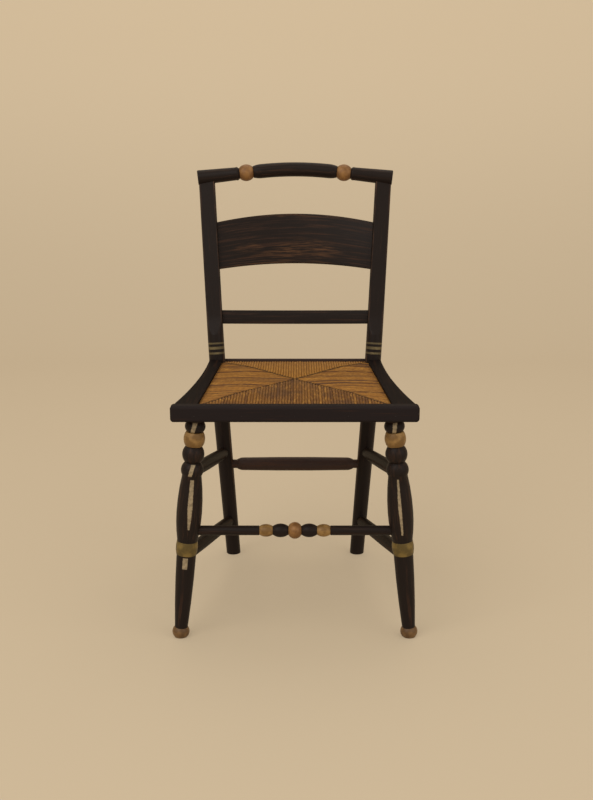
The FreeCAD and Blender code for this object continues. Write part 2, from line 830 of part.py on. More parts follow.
def crest_cutter():
    """The crest's end over the right post, to cut the saddle that it sits in."""
    slope = math.radians(sizes.crest_slope)
    way = crest_place().Rotation.multVec(Vector(math.cos(slope), 0, -math.sin(slope)))
    start = post_point(sizes.crest_z) - way * sizes.post_dia
    return rod("crest_cutter", start, way, "crest_end_dia / 2 + glue_gap", "2 * post_dia")


def crest_tenon(name, side, gap):
    """The round tenon on top of a rear post, or with a gap the socket for it in the crest."""
    way = post_way(sizes.crest_z - sizes.post_dia)
    start = post_point(sizes.crest_z) - way * sizes.post_dia
    if side == "left":
        start, way = other_side(start), other_side(way)
    return rod(name, start, way, f"post_tenon_dia / 2 + {gap}", f"post_dia + post_tenon_rise + {gap}")


def rear_post(name, joints):
    """The right rear post with its joints."""
    depth = sizes.post_dia
    corner = Vector(sizes.post_foot_half - depth, sizes.post_y - depth, -depth)
    floor = block("post_floor", corner, "2 * post_dia", "2 * post_dia + post_rake", "post_dia")
    shaped = cut("post_shaped", post_blank(), [floor, crest_cutter(), post_flat()])
    whole = fused("post_with_tenon", shaped, crest_tenon("post_tenon", "right", "0"))
    return cut(name, whole, joints)


def crest_section(radius, across, up, turn):
    """One section of the crest, square to its line, at a place in the plane of its bend."""
    way = Vector(math.cos(turn), 0, -math.sin(turn))
    frame = Rotation(BACKWARD.cross(way), BACKWARD, way, "ZXY")
    return radius, crest_place().multiply(Placement(Vector(across, 0, up), frame))


def crest_rail(name):
    """The turned crest: a bent pillow in the middle, and a ball, a crease and a plain arm on each side."""
    half = sizes.post_crest_half
    axis = bend(Vector(-half, 0, 0), Vector(0, sizes.crest_apex, 0), Vector(half, 0, 0),
                sizes.pillow_bend_radius)
    slope = math.radians(sizes.crest_slope)
    ball_start = "arm_to_ball - crest_ball_len / 2"
    ball_end = "arm_to_ball + crest_ball_len / 2"
    corner = f"crest_end_round * (1 - {HALF_DIAGONAL})"
    arm = flats([
        ("pillow_dia / 2", "0", "(pillow_dia - pillow_shoulder_dia) / 8"),
        ("pillow_shoulder_dia / 2", f"{ball_start} - crest_crease_len", None),
        ("crest_crease_dia / 2", ball_start, "(crest_ball_dia - crest_crease_dia) / 2"),
        ("crest_crease_dia / 2", ball_end, None),
        ("crest_crease_dia / 2", f"{ball_end} + crest_crease_len", "(crest_arm_dia - crest_crease_dia) / 4"),
        ("crest_arm_dia / 2", f"{ball_end} + crest_crease_len + crest_arm_shoulder_len", None),
        ("crest_end_dia / 2", "arm_to_end - crest_end_round", corner),
        ("crest_end_dia / 2 - crest_end_round", "arm_to_end", None),
    ])
    right = []
    for radius, station, _ in arm:
        point = axis.last + axis.way * value(station)
        right.append((radius, point.x, point.y))
    pillow = []
    for step in range(1, BEND_STEPS):
        turn = slope * (2 * step / BEND_STEPS - 1)
        across = axis.centre.x + axis.radius * math.sin(turn)
        pillow.append(crest_section("pillow_dia / 2", across, axis.centre.y + axis.radius * math.cos(turn), turn))
    sections = [crest_section(radius, -across, up, -slope) for radius, across, up in reversed(right)]
    sections += pillow
    sections += [crest_section(radius, across, up, slope) for radius, across, up in right]
    tools = [crest_tenon(f"crest_socket_{side}", side, "glue_gap") for side in ("right", "left")]
    tools += [peg("crest", side, hole=True) for side in ("right", "left")]
    return cut(name, stick("CrestBlank", sections), tools)


def bent_board(name, key, gap, low_bulge, high_bulge):
    """A board bent backwards between the posts, larger all round by a gap: a tube trimmed to an outline.

    Its ends run into the posts, slope with them and stop short of their far side.
    """
    frame = back_frame(sizes.get(key + "_middle_z"))
    bow = sizes.get(key + "_bow")
    hub = Vector(0, bow - sizes.get(key + "_radius"), -2 * sizes.get(key + "_reach"))
    drums = []
    for face, radius in (("back", f"{key}_radius + {key}_thick + {gap}"), ("front", f"{key}_radius - {gap}")):
        drum = doc.addObject("Part::Cylinder", f"{name}_{face}_face")
        drum.setExpression("Radius", named(radius))
        drum.setExpression("Height", named(f"4 * {key}_reach"))
        drum.Placement = frame.multiply(Placement(hub, Rotation()))
        drums.append(drum)
    tube = cut(f"{name}_tube", drums[0], drums[1:])
    body = doc.addObject("PartDesign::Body", f"{name}_slab")
    sketch = new_sketch(body, f"{name}_outline", "XZ_Plane")
    low, high = f"-{key}_reach - {gap}", f"{key}_reach + {gap}"
    outline(sketch, [
        (f"-{key}_half_low - {gap}", low, low_bulge),
        (f"{key}_half_low + {gap}", low, None),
        (f"{key}_half_high + {gap}", high, high_bulge),
        (f"-{key}_half_high - {gap}", high, None),
    ])
    pad(body, f"{name}_pad", sketch, f"4 * ({key}_bow + {key}_thick)", both_ways=True)
    body.Placement = frame
    result = doc.addObject("Part::Common", name)
    result.Base = tube
    result.Tool = body
    return result


def slat(name, gap="0"):
    """The wide slat, arched above and below."""
    return bent_board(name, "slat", gap, "-slat_low_arch", "slat_high_arch")


def lower_bar(name, gap="0"):
    """The narrow rail of the back, with straight edges."""
    return bent_board(name, "bar", gap, None, None)


# Front legs and stretchers
def front_leg(name, joints):
    """The right front leg: turned in one stick, trimmed level at the floor and under the seat frame."""
    crease = "leg_crease_dia / 2"
    rows = [
        ("-overrun", "foot_ball_base_dia / 2", None),
        ("0", "foot_ball_base_dia / 2", "(foot_ball_dia - foot_ball_base_dia) / 2"),
        ("foot_ball_len", "leg_ankle_dia / 2", "leg_taper_swell"),
        ("at_low_ring", "leg_knee_dia / 2", None),
        ("at_low_ring + leg_edge_len", "leg_low_ring_edge_dia / 2",
         "(leg_low_ring_dia - leg_low_ring_edge_dia) / 2"),
        ("at_vase - leg_edge_len", "leg_low_ring_edge_dia / 2", None),
        ("at_vase", "vase_foot_dia / 2", "(vase_belly_dia - vase_foot_dia) / 8"),
        ("at_vase + vase_belly_rise", "vase_belly_dia / 2", "(vase_belly_dia - vase_neck_dia) / 8"),
        ("at_low_bead", "vase_neck_dia / 2", "(leg_low_bead_dia - (vase_neck_dia + leg_crease_dia) / 2) / 2"),
        ("at_ball", crease, "(leg_ball_dia - leg_crease_dia) / 2"),
        ("at_ring", crease, None),
        ("at_ring + leg_edge_len", "leg_ring_edge_dia / 2", "(leg_ring_dia - leg_ring_edge_dia) / 2"),
        ("at_top_bead - leg_edge_len", "leg_ring_edge_dia / 2", None),
        ("at_top_bead", crease, "(leg_top_bead_dia - leg_crease_dia) / 2"),
        ("at_neck", "leg_neck_dia / 2", None),
        ("leg_len + overrun", "leg_neck_dia / 2", None),
    ]
    blank = turned("LegBlank", rows, Placement(leg_point(0), Rotation(BACKWARD, -sizes.leg_splay)))
    aside = Vector(sizes.post_dia, sizes.post_dia, 0)
    below = leg_point(0) - aside - UP * sizes.ear_thick
    above = leg_point(sizes.ear_low) - aside
    tools = [block("leg_floor", below, "2 * post_dia", "2 * post_dia", "ear_thick"),
             block("leg_shoulder", above, "2 * post_dia", "2 * post_dia", "ear_thick")]
    shaped = cut("leg_shaped", blank, tools + joints)
    return fused(name, shaped, leg_tenon("leg_top_tenon", "0"))


def stick_frame(key):
    """A stick's own frame: its origin at the first end and its z along the stick."""
    start, end = LINES[key]
    return Placement(start, Rotation(UP, end - start))


def plain_stretcher(name, key, thick):
    """A plain turned stretcher: a thin neck into each socket, a quick shoulder and a slight swell."""
    tenon, shoulder = "stretcher_tenon_dia / 2", f"{thick} / 2 - stretcher_swell"
    step = f"({thick} - stretcher_tenon_dia) / 8"
    far = f"{key}_len - stretcher_neck_len"
    rows = [
        ("0", tenon, None),
        ("stretcher_neck_len", tenon, step),
        ("stretcher_neck_len + stretcher_shoulder_len", shoulder, "stretcher_swell"),
        (f"{far} - stretcher_shoulder_len", shoulder, step),
        (far, tenon, None),
        (f"{key}_len", tenon, None),
    ]
    return turned(name, rows, stick_frame(key))


def fancy_stretcher(name):
    """The front stretcher: plain arms, and in the middle a ball, two beads and two smaller balls."""
    arm, crease = "front_stretcher_dia / 2", "stretcher_crease_dia / 2"
    middle = "front_stretcher_len / 2"
    ball = "stretcher_ball_len / 2"
    bead = f"{ball} + stretcher_bead_len"
    last = f"{bead} + stretcher_end_ball_len"
    ball_bulge = "(stretcher_ball_dia - stretcher_crease_dia) / 2"
    bead_bulge = "(stretcher_bead_dia - stretcher_crease_dia) / 2"
    last_bulge = "(stretcher_end_ball_dia - stretcher_crease_dia) / 2"
    rows = [
        ("0", arm, None),
        (f"{middle} - ({last}) - stretcher_crease_len", arm, None),
        (f"{middle} - ({last})", crease, last_bulge),
        (f"{middle} - ({bead})", crease, bead_bulge),
        (f"{middle} - ({ball})", crease, ball_bulge),
        (f"{middle} + {ball}", crease, bead_bulge),
        (f"{middle} + {bead}", crease, last_bulge),
        (f"{middle} + {last}", crease, None),
        (f"{middle} + {last} + stretcher_crease_len", arm, None),
        ("front_stretcher_len", arm, None),
    ]
    return turned(name, rows, stick_frame("front_stretcher"))


# Seat frame
def rail_frame(key):
    """A seat rail's own frame: z along the rail, y up."""
    start, end = LINES[key]
    along = (end - start).normalize()
    return Placement(start, Rotation(UP.cross(along), UP, along, "ZYX"))


def seat_rail(name, key):
    """A straight seat rail: a bar with softened edges and a round tenon at each end."""
    body = doc.addObject("PartDesign::Body", name)
    sketch = new_sketch(body, key + "_section", "XY_Plane")
    outline(sketch, rectangle(f"-{key}_width / 2", "-seat_rail_thick / 2", f"{key}_width / 2",
                              "seat_rail_thick / 2"))
    pad(body, key + "_bar", sketch, key + "_len")
    round_edges(body, key + "_edges", "seat_rail_round", lambda edge: runs_along(edge, UP))
    tenon_len = f"{key}_tenon_len"
    outset = Placement(Vector(0, 0, -value(tenon_len)), Rotation())
    sketch = new_sketch(body, key + "_tenon_section", "XY_Plane", outset)
    circle(sketch, "0", "0", f"{key}_tenon_dia / 2")
    pad(body, key + "_tenons", sketch, f"{key}_len + 2 * {tenon_len}")
    body.Placement = rail_frame(key)
    return body


def rail_room(key):
    """The room that a seat rail takes inside the rush, with a gap all round."""
    gap = sizes.soft_gap
    corner = Vector(-value(f"{key}_width") / 2 - gap, -sizes.seat_rail_thick / 2 - gap, -sizes.post_dia / 2)
    place = rail_frame(key).multiply(Placement(corner, Rotation()))
    return block(key + "_room", place, f"{key}_width + 2 * soft_gap", "seat_rail_thick + 2 * soft_gap",
                 f"{key}_len + post_dia")


def front_rail_blank():
    """The front rail before its joints: a bar for the rush and, at each end, a block over the front leg."""
    body = doc.addObject("PartDesign::Body", "FrontRailBlank")
    middle = "front_y + front_rail_setback"
    sketch = new_sketch(body, "front_bar_section", "YZ_Plane")
    outline(sketch, rectangle(f"{middle} - front_rail_width / 2", "rail_z - seat_rail_thick / 2",
                              f"{middle} + front_rail_width / 2", "rail_z + seat_rail_thick / 2"))
    pad(body, "front_bar", sketch, "2 * leg_top_half - ear_width", both_ways=True)
    round_edges(body, "front_bar_edges", "seat_rail_round", lambda edge: runs_along(edge, ACROSS))
    level = Placement(Vector(0, 0, sizes.ear_low), Rotation())
    sketch = new_sketch(body, "ear_plan", "XY_Plane", level)
    outline(sketch, rectangle("leg_top_half - ear_width / 2", "front_y + ear_setback",
                              "leg_top_half + ear_width / 2", "front_y + ear_setback + ear_depth"))
    ear = pad(body, "ear", sketch, "ear_thick")
    mirror_feature(body, "other_ear", ear)
    round_edges(body, "ear_corners", "ear_round",
                lambda edge: runs_along(edge, UP) and abs(edge.CenterOfMass.x) > sizes.leg_top_half)
    return body


def ear_room(name, gap, side, length, width, below):
    """The room for one of the front rail's blocks, from its inner rear corner out past the casings."""
    inner = sizes.leg_top_half - sizes.ear_width / 2 - gap
    back = sizes.front_y + sizes.ear_setback + sizes.ear_depth + gap
    corner = Vector(inner if side == "right" else -inner - length, back - width, sizes.ear_low - below)
    tool = doc.addObject("Part::Box", name)
    tool.Length, tool.Width, tool.Height = length, width, below + sizes.ear_thick + gap
    tool.Placement = Placement(corner, Rotation())
    return tool


# Rush seat
def rush_ring(share, height):
    """One level outline of the rush, its full outline drawn towards the place where its four fields meet."""
    front = sizes.rush_middle_y + (sizes.rush_front_y - sizes.rush_middle_y) * share
    rear = sizes.rush_middle_y + (sizes.rush_rear_y - sizes.rush_middle_y) * share
    front_half, rear_half = sizes.rush_front_half * share, sizes.rush_rear_half * share
    return [Vector(-front_half, front, height), Vector(front_half, front, height),
            Vector(rear_half, rear, height), Vector(-rear_half, rear, height)]


def rush_seat(name):
    """The woven seat as one soft pad: rolled over the rails, crowned between them, hollow in the middle."""
    half = sizes.seat_rail_thick / 2 + sizes.rush_wrap
    top, under = sizes.rail_z + half, sizes.rail_z - half
    rings = [rush_ring(RUSH_MIDDLE_SHARE, under + 2 * sizes.rush_hollow), rush_ring(RUSH_CROWN_SHARE, under)]
    rings += [rush_ring(share, sizes.rail_z - half * way) for share, way in reversed(RUSH_ROLL_SHARES)]
    rings += [rush_ring(share, sizes.rail_z + half * way) for share, way in RUSH_ROLL_SHARES]
    rings += [rush_ring(RUSH_EDGE_SHARE, top), rush_ring(RUSH_CROWN_SHARE, top + sizes.rush_crown),
              rush_ring(RUSH_MIDDLE_SHARE, top - sizes.rush_hollow)]
    faces = [Part.Face(Part.makePolygon(ring + ring[:1])) for ring in (rings[0], rings[-1])]
    for low, high in zip(rings, rings[1:]):
        for index in range(4):
            after = (index + 1) % 4
            corners = [low[index], low[after], high[after], high[index], low[index]]
            faces.append(Part.Face(Part.makePolygon(corners)))
    body = doc.addObject("Part::Feature", "RushBlank")
    body.Shape = Part.makeSolid(Part.makeShell(faces))
    right_post = post_cope("rush_cope")
    right_rail = rail_room("side_rail")
    gap, far = sizes.soft_gap, sizes.front_strip_half
    front_bar = Vector(-sizes.leg_top_half, sizes.front_y + sizes.front_rail_setback
                       - sizes.front_rail_width / 2 - gap, sizes.rail_z - sizes.seat_rail_thick / 2 - gap)
    tools = [
        right_post, mirrored("rush_cope_left", right_post),
        right_rail, mirrored("side_rail_room_left", right_rail),
        rail_room("rear_rail"),
        block("front_bar_room", front_bar, "2 * leg_top_half", "front_rail_width + 2 * soft_gap",
              "seat_rail_thick + 2 * soft_gap"),
    ]
    for side in ("right", "left"):
        tools.append(ear_room(f"rush_ear_room_{side}", gap, side, far, far, sizes.ear_thick))
    tools += brads(("front", "rear", "right", "left"), "soft_gap")
    return cut(name, body, tools)


# Casings
def front_strip(name):
    """The straight front casing: rounded in front, rabbeted behind for the rush and the leg blocks."""
    body = doc.addObject("PartDesign::Body", "FrontStripBlank")
    level = Placement(Vector(0, 0, sizes.ear_low), Rotation())
    sketch = new_sketch(body, "front_strip_plan", "XY_Plane", level)
    corner = f"front_strip_corner * (1 - {HALF_DIAGONAL})"
    outline(sketch, [
        ("-front_strip_half + front_strip_corner", "front_y", None),
        ("front_strip_half - front_strip_corner", "front_y", corner),
        ("front_strip_half", "front_y + front_strip_corner", None),
        ("front_strip_half", "casing_y", None),
        ("-front_strip_half", "casing_y", None),
        ("-front_strip_half", "front_y + front_strip_corner", corner),
    ])
    pad(body, "front_strip_bar", sketch, "strip_height")
    round_edges(body, "front_strip_nosing", "front_strip_nose",
                lambda edge: abs(edge.tangentAt(edge.FirstParameter).z) < 1e-6
                and edge.CenterOfMass.y < sizes.casing_y - 1e-6)
    gap = sizes.glue_gap
    bar_half = sizes.leg_top_half - sizes.ear_width / 2 - gap
    ear_half = sizes.leg_top_half + sizes.ear_width / 2 + gap
    wall_y = sizes.front_y + sizes.front_strip_wall
    ear_y = sizes.front_y + sizes.ear_setback - gap
    low = sizes.ear_low - sizes.overrun
    ear_top = sizes.ear_low + sizes.ear_thick + gap
    under_flange = "strip_height - flange_thick"
    ear_span = "2 * leg_top_half + ear_width + 2 * glue_gap"
    tools = [
        block("rush_rabbet", Vector(-bar_half, wall_y, low), "2 * leg_top_half - ear_width - 2 * glue_gap",
              "front_strip_depth", f"{under_flange} + overrun"),
        block("leg_block_rabbet", Vector(-ear_half, ear_y, low), ear_span, "front_strip_depth",
              "overrun + ear_thick + glue_gap"),
        block("rush_rabbet_over_blocks", Vector(-ear_half, wall_y, ear_top), ear_span, "front_strip_depth",
              f"{under_flange} - ear_thick - glue_gap"),
    ]
    return cut(name, body, tools + brads(("front", "front_ear"), "glue_gap"))


def side_strip(name):
    """The right side casing: its outer edge flares to the front corner, its flange lies on the rush."""
    body = doc.addObject("PartDesign::Body", "SideStripBlank")
    level = Placement(Vector(0, 0, sizes.ear_low), Rotation())
    sketch = new_sketch(body, "side_strip_plan", "XY_Plane", level)
    outer_rear = "(rear_half + post_dia / 2 + side_strip_rear_proud)"
    outline(sketch, [
        ("side_strip_inner_front", "casing_y", None),
        ("side_strip_front_half", "casing_y", f"-(side_strip_front_half - {outer_rear}) / 4"),
        (outer_rear, "rear_y", None),
        ("side_strip_inner_rear", "rear_y", None),
    ])
    pad(body, "side_strip_board", sketch, "strip_height")
    round_edges(body, "side_strip_edge", "side_strip_edge_round",
                lambda edge: edge.Curve.TypeId == "Part::GeomCircle"
                and edge.CenterOfMass.z > sizes.seat_top - sizes.glue_gap)
    sketch = new_sketch(body, "side_rabbet_plan", "XY_Plane", level)
    outline(sketch, [
        ("side_strip_inner_front - overrun", "casing_y", None),
        ("nose_front_half", "casing_y", None),
        ("nose_rear_half", "rear_y", None),
        ("side_strip_inner_rear - overrun", "rear_y", None),
    ])
    pocket(body, "side_rabbet", sketch, "strip_height - flange_thick")
    end = Vector(0, sizes.rear_y - sizes.post_dia / 4, sizes.ear_low - sizes.overrun)
    tools = [
        post_cope("side_strip_cope"),
        block("side_strip_end", end, "front_strip_half", "post_dia", "strip_height + 2 * overrun"),
        ear_room("side_strip_ear_room", sizes.glue_gap, "right", sizes.ear_width + 2 * sizes.glue_gap,
                 sizes.front_strip_half, sizes.overrun),
    ]
    return cut(name, body, tools + brads(("right", "right_ear"), "glue_gap"))


def rear_strip(name):
    """The thin casing behind the rush, between the posts."""
    body = doc.addObject("PartDesign::Body", "RearStripBlank")
    sketch = new_sketch(body, "rear_strip_section", "YZ_Plane")
    outline(sketch, rectangle("rush_rear_y + soft_gap", "seat_top - rear_strip_drop - rear_strip_height",
                              "rush_rear_y + soft_gap + rear_strip_thick", "seat_top - rear_strip_drop"))
    pad(body, "rear_strip_board", sketch, "2 * rear_half", both_ways=True)
    round_edges(body, "rear_strip_edges", "rear_strip_edge_round",
                lambda edge: runs_along(edge, ACROSS)
                and edge.CenterOfMass.z > sizes.seat_top - sizes.rear_strip_height)
    right_post = post_cope("rear_strip_cope")
    tools = [right_post, mirrored("rear_strip_cope_left", right_post)] + brads(("rear",), "glue_gap")
    return cut(name, body, tools)


# Assembly
def assemble():
    """Builds every piece of the chair and returns them by name."""
    tenon = "stretcher_tenon_dia / 2"
    upper_leg, upper_post = sockets("upper_stretcher", tenon)
    lower_leg, lower_post = sockets("lower_stretcher", tenon)
    _, rear_post_socket = sockets("rear_stretcher", tenon)
    _, front_leg_socket = sockets("front_stretcher", "front_stretcher_dia / 2")
    _, rear_rail_socket = sockets("rear_rail", "rear_rail_tenon_dia / 2", "rear_rail_tenon_len")
    side_post, side_ear = sockets("side_rail", "side_rail_tenon_dia / 2", "side_rail_tenon_len")
    post_joints = [slat("slat_mortise", "glue_gap"), lower_bar("bar_mortise", "glue_gap"), upper_post,
                   lower_post, rear_post_socket, rear_rail_socket, side_post]
    post_joints += [peg(key, "right", hole=True) for key in ("slat", "bar", "crest")]
    leg_socket = leg_tenon("leg_socket", "glue_gap")
    ear_tools = [leg_socket, mirrored("leg_socket_left", leg_socket), side_ear,
                 mirrored("side_ear_left", side_ear)]
    ear_tools += brads(("front", "front_ear", "right_ear", "left_ear"), "glue_gap")
    pieces = {
        "right_rear_post": rear_post("right_rear_post", post_joints),
        "crest_rail": crest_rail("crest_rail"),
        "back_slat": cut("back_slat", slat("slat_board"),
                         [peg("slat", side, hole=True) for side in ("right", "left")]),
        "lower_back_rail": cut("lower_back_rail", lower_bar("bar_board"),
                               [peg("bar", side, hole=True) for side in ("right", "left")]),
        "back_pegs": grouped("back_pegs", [peg(key, side, hole=False) for key in ("slat", "bar", "crest")
                                           for side in ("right", "left")]),
        "right_front_leg": front_leg("right_front_leg", [upper_leg, lower_leg, front_leg_socket]),
        "front_stretcher": fancy_stretcher("front_stretcher"),
        "rear_stretcher": plain_stretcher("rear_stretcher", "rear_stretcher", "rear_stretcher_dia"),
        "upper_right_side_stretcher": plain_stretcher("upper_right_side_stretcher", "upper_stretcher",
                                                      "side_stretcher_dia"),
        "lower_right_side_stretcher": plain_stretcher("lower_right_side_stretcher", "lower_stretcher",
                                                      "side_stretcher_dia"),
        "front_seat_rail": cut("front_seat_rail", front_rail_blank(), ear_tools),
        "rear_seat_rail": cut("rear_seat_rail", seat_rail("rear_rail_blank", "rear_rail"),
                              brads(("rear",), "glue_gap")),
        "right_seat_rail": cut("right_seat_rail", seat_rail("side_rail_blank", "side_rail"),
                               brads(("right",), "glue_gap")),
        "rush_seat": rush_seat("rush_seat"),
        "right_side_strip": side_strip("right_side_strip"),
        "front_facing_strip": front_strip("front_facing_strip"),
        "rear_seat_strip": rear_strip("rear_seat_strip"),
        "strip_brads": grouped("strip_brads", brads(brad_spots())),
    }
    for name in [name for name in pieces if "right_" in name]:
        other = name.replace("right_", "left_")
        pieces[other] = mirrored(other, pieces[name])
    for name, piece in pieces.items():
        piece.Label = name
    return pieces


def check(pieces):
    """Stops the build when a feature has failed or a piece is empty or unsound."""
    doc.recompute()
    for feature in doc.Objects:
        if {"Invalid", "Error"} & set(feature.State):
            raise RuntimeError(f"{feature.Name} did not build: {feature.State}")
    for name, piece in pieces.items():
        if piece.Shape.isNull() or not piece.Shape.isValid() or not piece.Shape.Solids:
            raise RuntimeError(f"{name} is not a sound solid")


pieces = assemble()
check(pieces)
os.makedirs("parts", exist_ok=True)
for name, piece in pieces.items():
    piece.Shape.exportStep(f"parts/{name}.step")
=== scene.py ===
"""A painted side chair with a rush seat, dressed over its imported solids.

Sizes are a chair maker's millimetres, and each piece goes to metres when it is delivered. x runs across the
chair, y from front to back and z up, with the floor at zero.
"""
import logging
import math
import random
from dataclasses import asdict, dataclass, field
from enum import Enum
from itertools import accumulate
from typing import Callable, Iterable, Iterator, Optional, Sequence

import bmesh
import bpy
from bmesh.types import BMEdge, BMesh, BMFace, BMLayerItem, BMVert
from bpy.types import ID, Material, Mesh, Node, NodeSocket, NodeTree, Object
from mathutils import Matrix, Vector


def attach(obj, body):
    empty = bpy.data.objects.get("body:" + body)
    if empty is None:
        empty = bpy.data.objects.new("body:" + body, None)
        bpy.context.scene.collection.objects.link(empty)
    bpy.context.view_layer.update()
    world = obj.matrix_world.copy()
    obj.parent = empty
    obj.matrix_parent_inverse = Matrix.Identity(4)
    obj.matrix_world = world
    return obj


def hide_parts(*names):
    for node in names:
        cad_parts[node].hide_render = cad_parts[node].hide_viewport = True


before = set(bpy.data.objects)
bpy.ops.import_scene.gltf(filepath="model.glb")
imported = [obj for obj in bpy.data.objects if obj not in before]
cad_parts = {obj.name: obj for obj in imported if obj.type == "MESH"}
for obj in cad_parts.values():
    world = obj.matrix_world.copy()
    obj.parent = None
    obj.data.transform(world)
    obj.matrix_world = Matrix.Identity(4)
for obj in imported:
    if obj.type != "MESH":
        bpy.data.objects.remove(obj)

LOG = logging.getLogger("side_chair")
METRE = 0.001
ACROSS = Vector((1.0, 0.0, 0.0))
BACKWARD = Vector((0.0, 1.0, 0.0))
UP = Vector((0.0, 0.0, 1.0))
STILL = Matrix.Identity(4)
MIRROR = Matrix.Diagonal((-1.0, 1.0, 1.0, 1.0))
SIDES = (("right", STILL), ("left", MIRROR))
WELD = 0.0005
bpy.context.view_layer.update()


def tint(*screen: int) -> tuple[float, ...]:
    """A colour as a shader wants it, from its three screen values of 0 to 255."""
    shares = (part / 255 for part in screen)
    lights = (share / 12.92 if share <= 0.04045 else ((share + 0.055) / 1.055) ** 2.4 for share in shares)
    return (*lights, 1.0)


def clamp(share: float) -> float:
    """A number kept between 0 and 1."""
    return min(1.0, max(0.0, share))


class Tint(Enum):
    """The colours of the chair and of the paper behind it."""

    BLACK = tint(31, 24, 21)
    # Painted shade: a darker black than the paint, so that the side strips' lit tops stay dark
    CASING_BLACK = tint(23, 18, 17)
    # Painted light: a lighter black than the paint, for light on the front strip's face
    FRONT_BLACK = tint(36, 30, 29)
    # Painted shade: a darker black, so that the side stretchers' lit tops stay dark
    SHADED_BLACK = tint(25, 18, 14)
    # A browner black, for the rear stretcher; on the rear strip it is painted light, for light on its shaded
    # face
    BROWN_BLACK = tint(56, 43, 38)
    WORN_BROWN = tint(70, 46, 32)
    RUBBED_BROWN = tint(74, 53, 40)
    BRONZE = tint(98, 66, 40)
    GILT = tint(112, 76, 40)
    GILT_LIGHT = tint(140, 100, 56)
    OCHRE = tint(112, 82, 42)
    OCHRE_LIGHT = tint(144, 110, 62)
    OLIVE = tint(86, 70, 34)
    OLIVE_LIGHT = tint(118, 96, 48)
    BAND = tint(84, 72, 46)
    BAND_LIGHT = tint(110, 95, 62)
    AMBER = tint(88, 63, 37)
    AMBER_LIGHT = tint(114, 84, 50)
    # Painted highlight: the cream of the strokes down the front of the legs
    CREAM = tint(152, 134, 105)
    RUSH = tint(144, 97, 38)
    RUSH_LIGHT = tint(178, 128, 54)
    RUSH_DARK = tint(88, 54, 26)
    # A darker brown, for smudges on the rush in cloudy patches
    RUSH_SOILED = tint(82, 55, 35)
    RUSH_SHADE = tint(42, 27, 15)
    BARE_WOOD = tint(150, 112, 72)
    IRON = tint(36, 30, 27)
    FLOOR_PAPER = tint(194, 175, 146)
    WALL_PAPER = tint(214, 194, 163)
    DARKNESS = tint(0, 0, 0)


class Grain(Enum):
    """Where a finish reads its place from: the piece's own attribute, or object coordinates in this order.

    The grain runs along the last number of the place.
    """

    PIECE = ()
    ALONG_X = (1, 2, 0)
    ALONG_Y = (2, 0, 1)
    ALONG_Z = (0, 1, 2)


class Wiring:
    """Adds and joins the nodes of one tree."""

    def __init__(self, tree: NodeTree) -> None:
        """Takes the tree that the nodes go in."""
        self.tree = tree

    def feed(self, target: Node, inputs: dict) -> None:
        """Gives a node's inputs, by name or number, each its value or the socket that feeds it."""
        for name, given in inputs.items():
            if isinstance(given, NodeSocket):
                self.tree.links.new(given, target.inputs[name])
            else:
                target.inputs[name].default_value = given.value if isinstance(given, Tint) else given

    def node(self, kind: str, inputs: Optional[dict] = None, **settings: object) -> Node:
        """Adds a node of a kind, with its inputs and its own properties, and returns it."""
        made = self.tree.nodes.new(kind)
        for name, setting in settings.items():
            setattr(made, name, setting)
        self.feed(made, inputs or {})
        return made

    def maths(self, operation: str, first: object, second: object = 0.0) -> NodeSocket:
        """The result of one sum of two numbers or sockets."""
        return self.node("ShaderNodeMath", {0: first, 1: second}, operation=operation).outputs[0]

    def product(self, first: object, *others: object) -> NodeSocket:
        """The product of numbers or sockets."""
        for other in others:
            first = self.maths("MULTIPLY", first, other)
        return first

    def blend(self, share: object, first: object, second: object) -> NodeSocket:
        """A colour between two colours."""
        return self.node("ShaderNodeMix", {0: share, 6: first, 7: second}, data_type="RGBA").outputs[2]

    def spread(self, given: object, low: object, high: object, to_low: object = 0.0, to_high: object = 1.0,
               way: str = "SMOOTHSTEP") -> NodeSocket:
        """A number taken from one range to another, smoothly unless another way is named."""
        return self.node("ShaderNodeMapRange", {0: given, 1: low, 2: high, 3: to_low, 4: to_high},
                         interpolation_type=way).outputs[0]

    def parts(self, vector: NodeSocket) -> Sequence[NodeSocket]:
        """The three numbers of a vector."""
        return self.node("ShaderNodeSeparateXYZ", {0: vector}).outputs

    def vector(self, *parts: object) -> NodeSocket:
        """A vector of three numbers."""
        return self.node("ShaderNodeCombineXYZ", dict(enumerate(parts))).outputs[0]

    def cloud(self, place: NodeSocket, scale: float, detail: float, roughness: float = 0.5) -> NodeSocket:
        """A cloudy number between 0 and 1 that changes from place to place."""
        return self.node("ShaderNodeTexNoise", {"Vector": place, "Scale": scale, "Detail": detail,
                                                "Roughness": roughness}).outputs[0]

    def effect(self, group: NodeTree, **inputs: object) -> NodeSocket:
        """What a shared effect puts out, with its inputs by name."""
        return self.node("ShaderNodeGroup", inputs, node_tree=group).outputs[0]


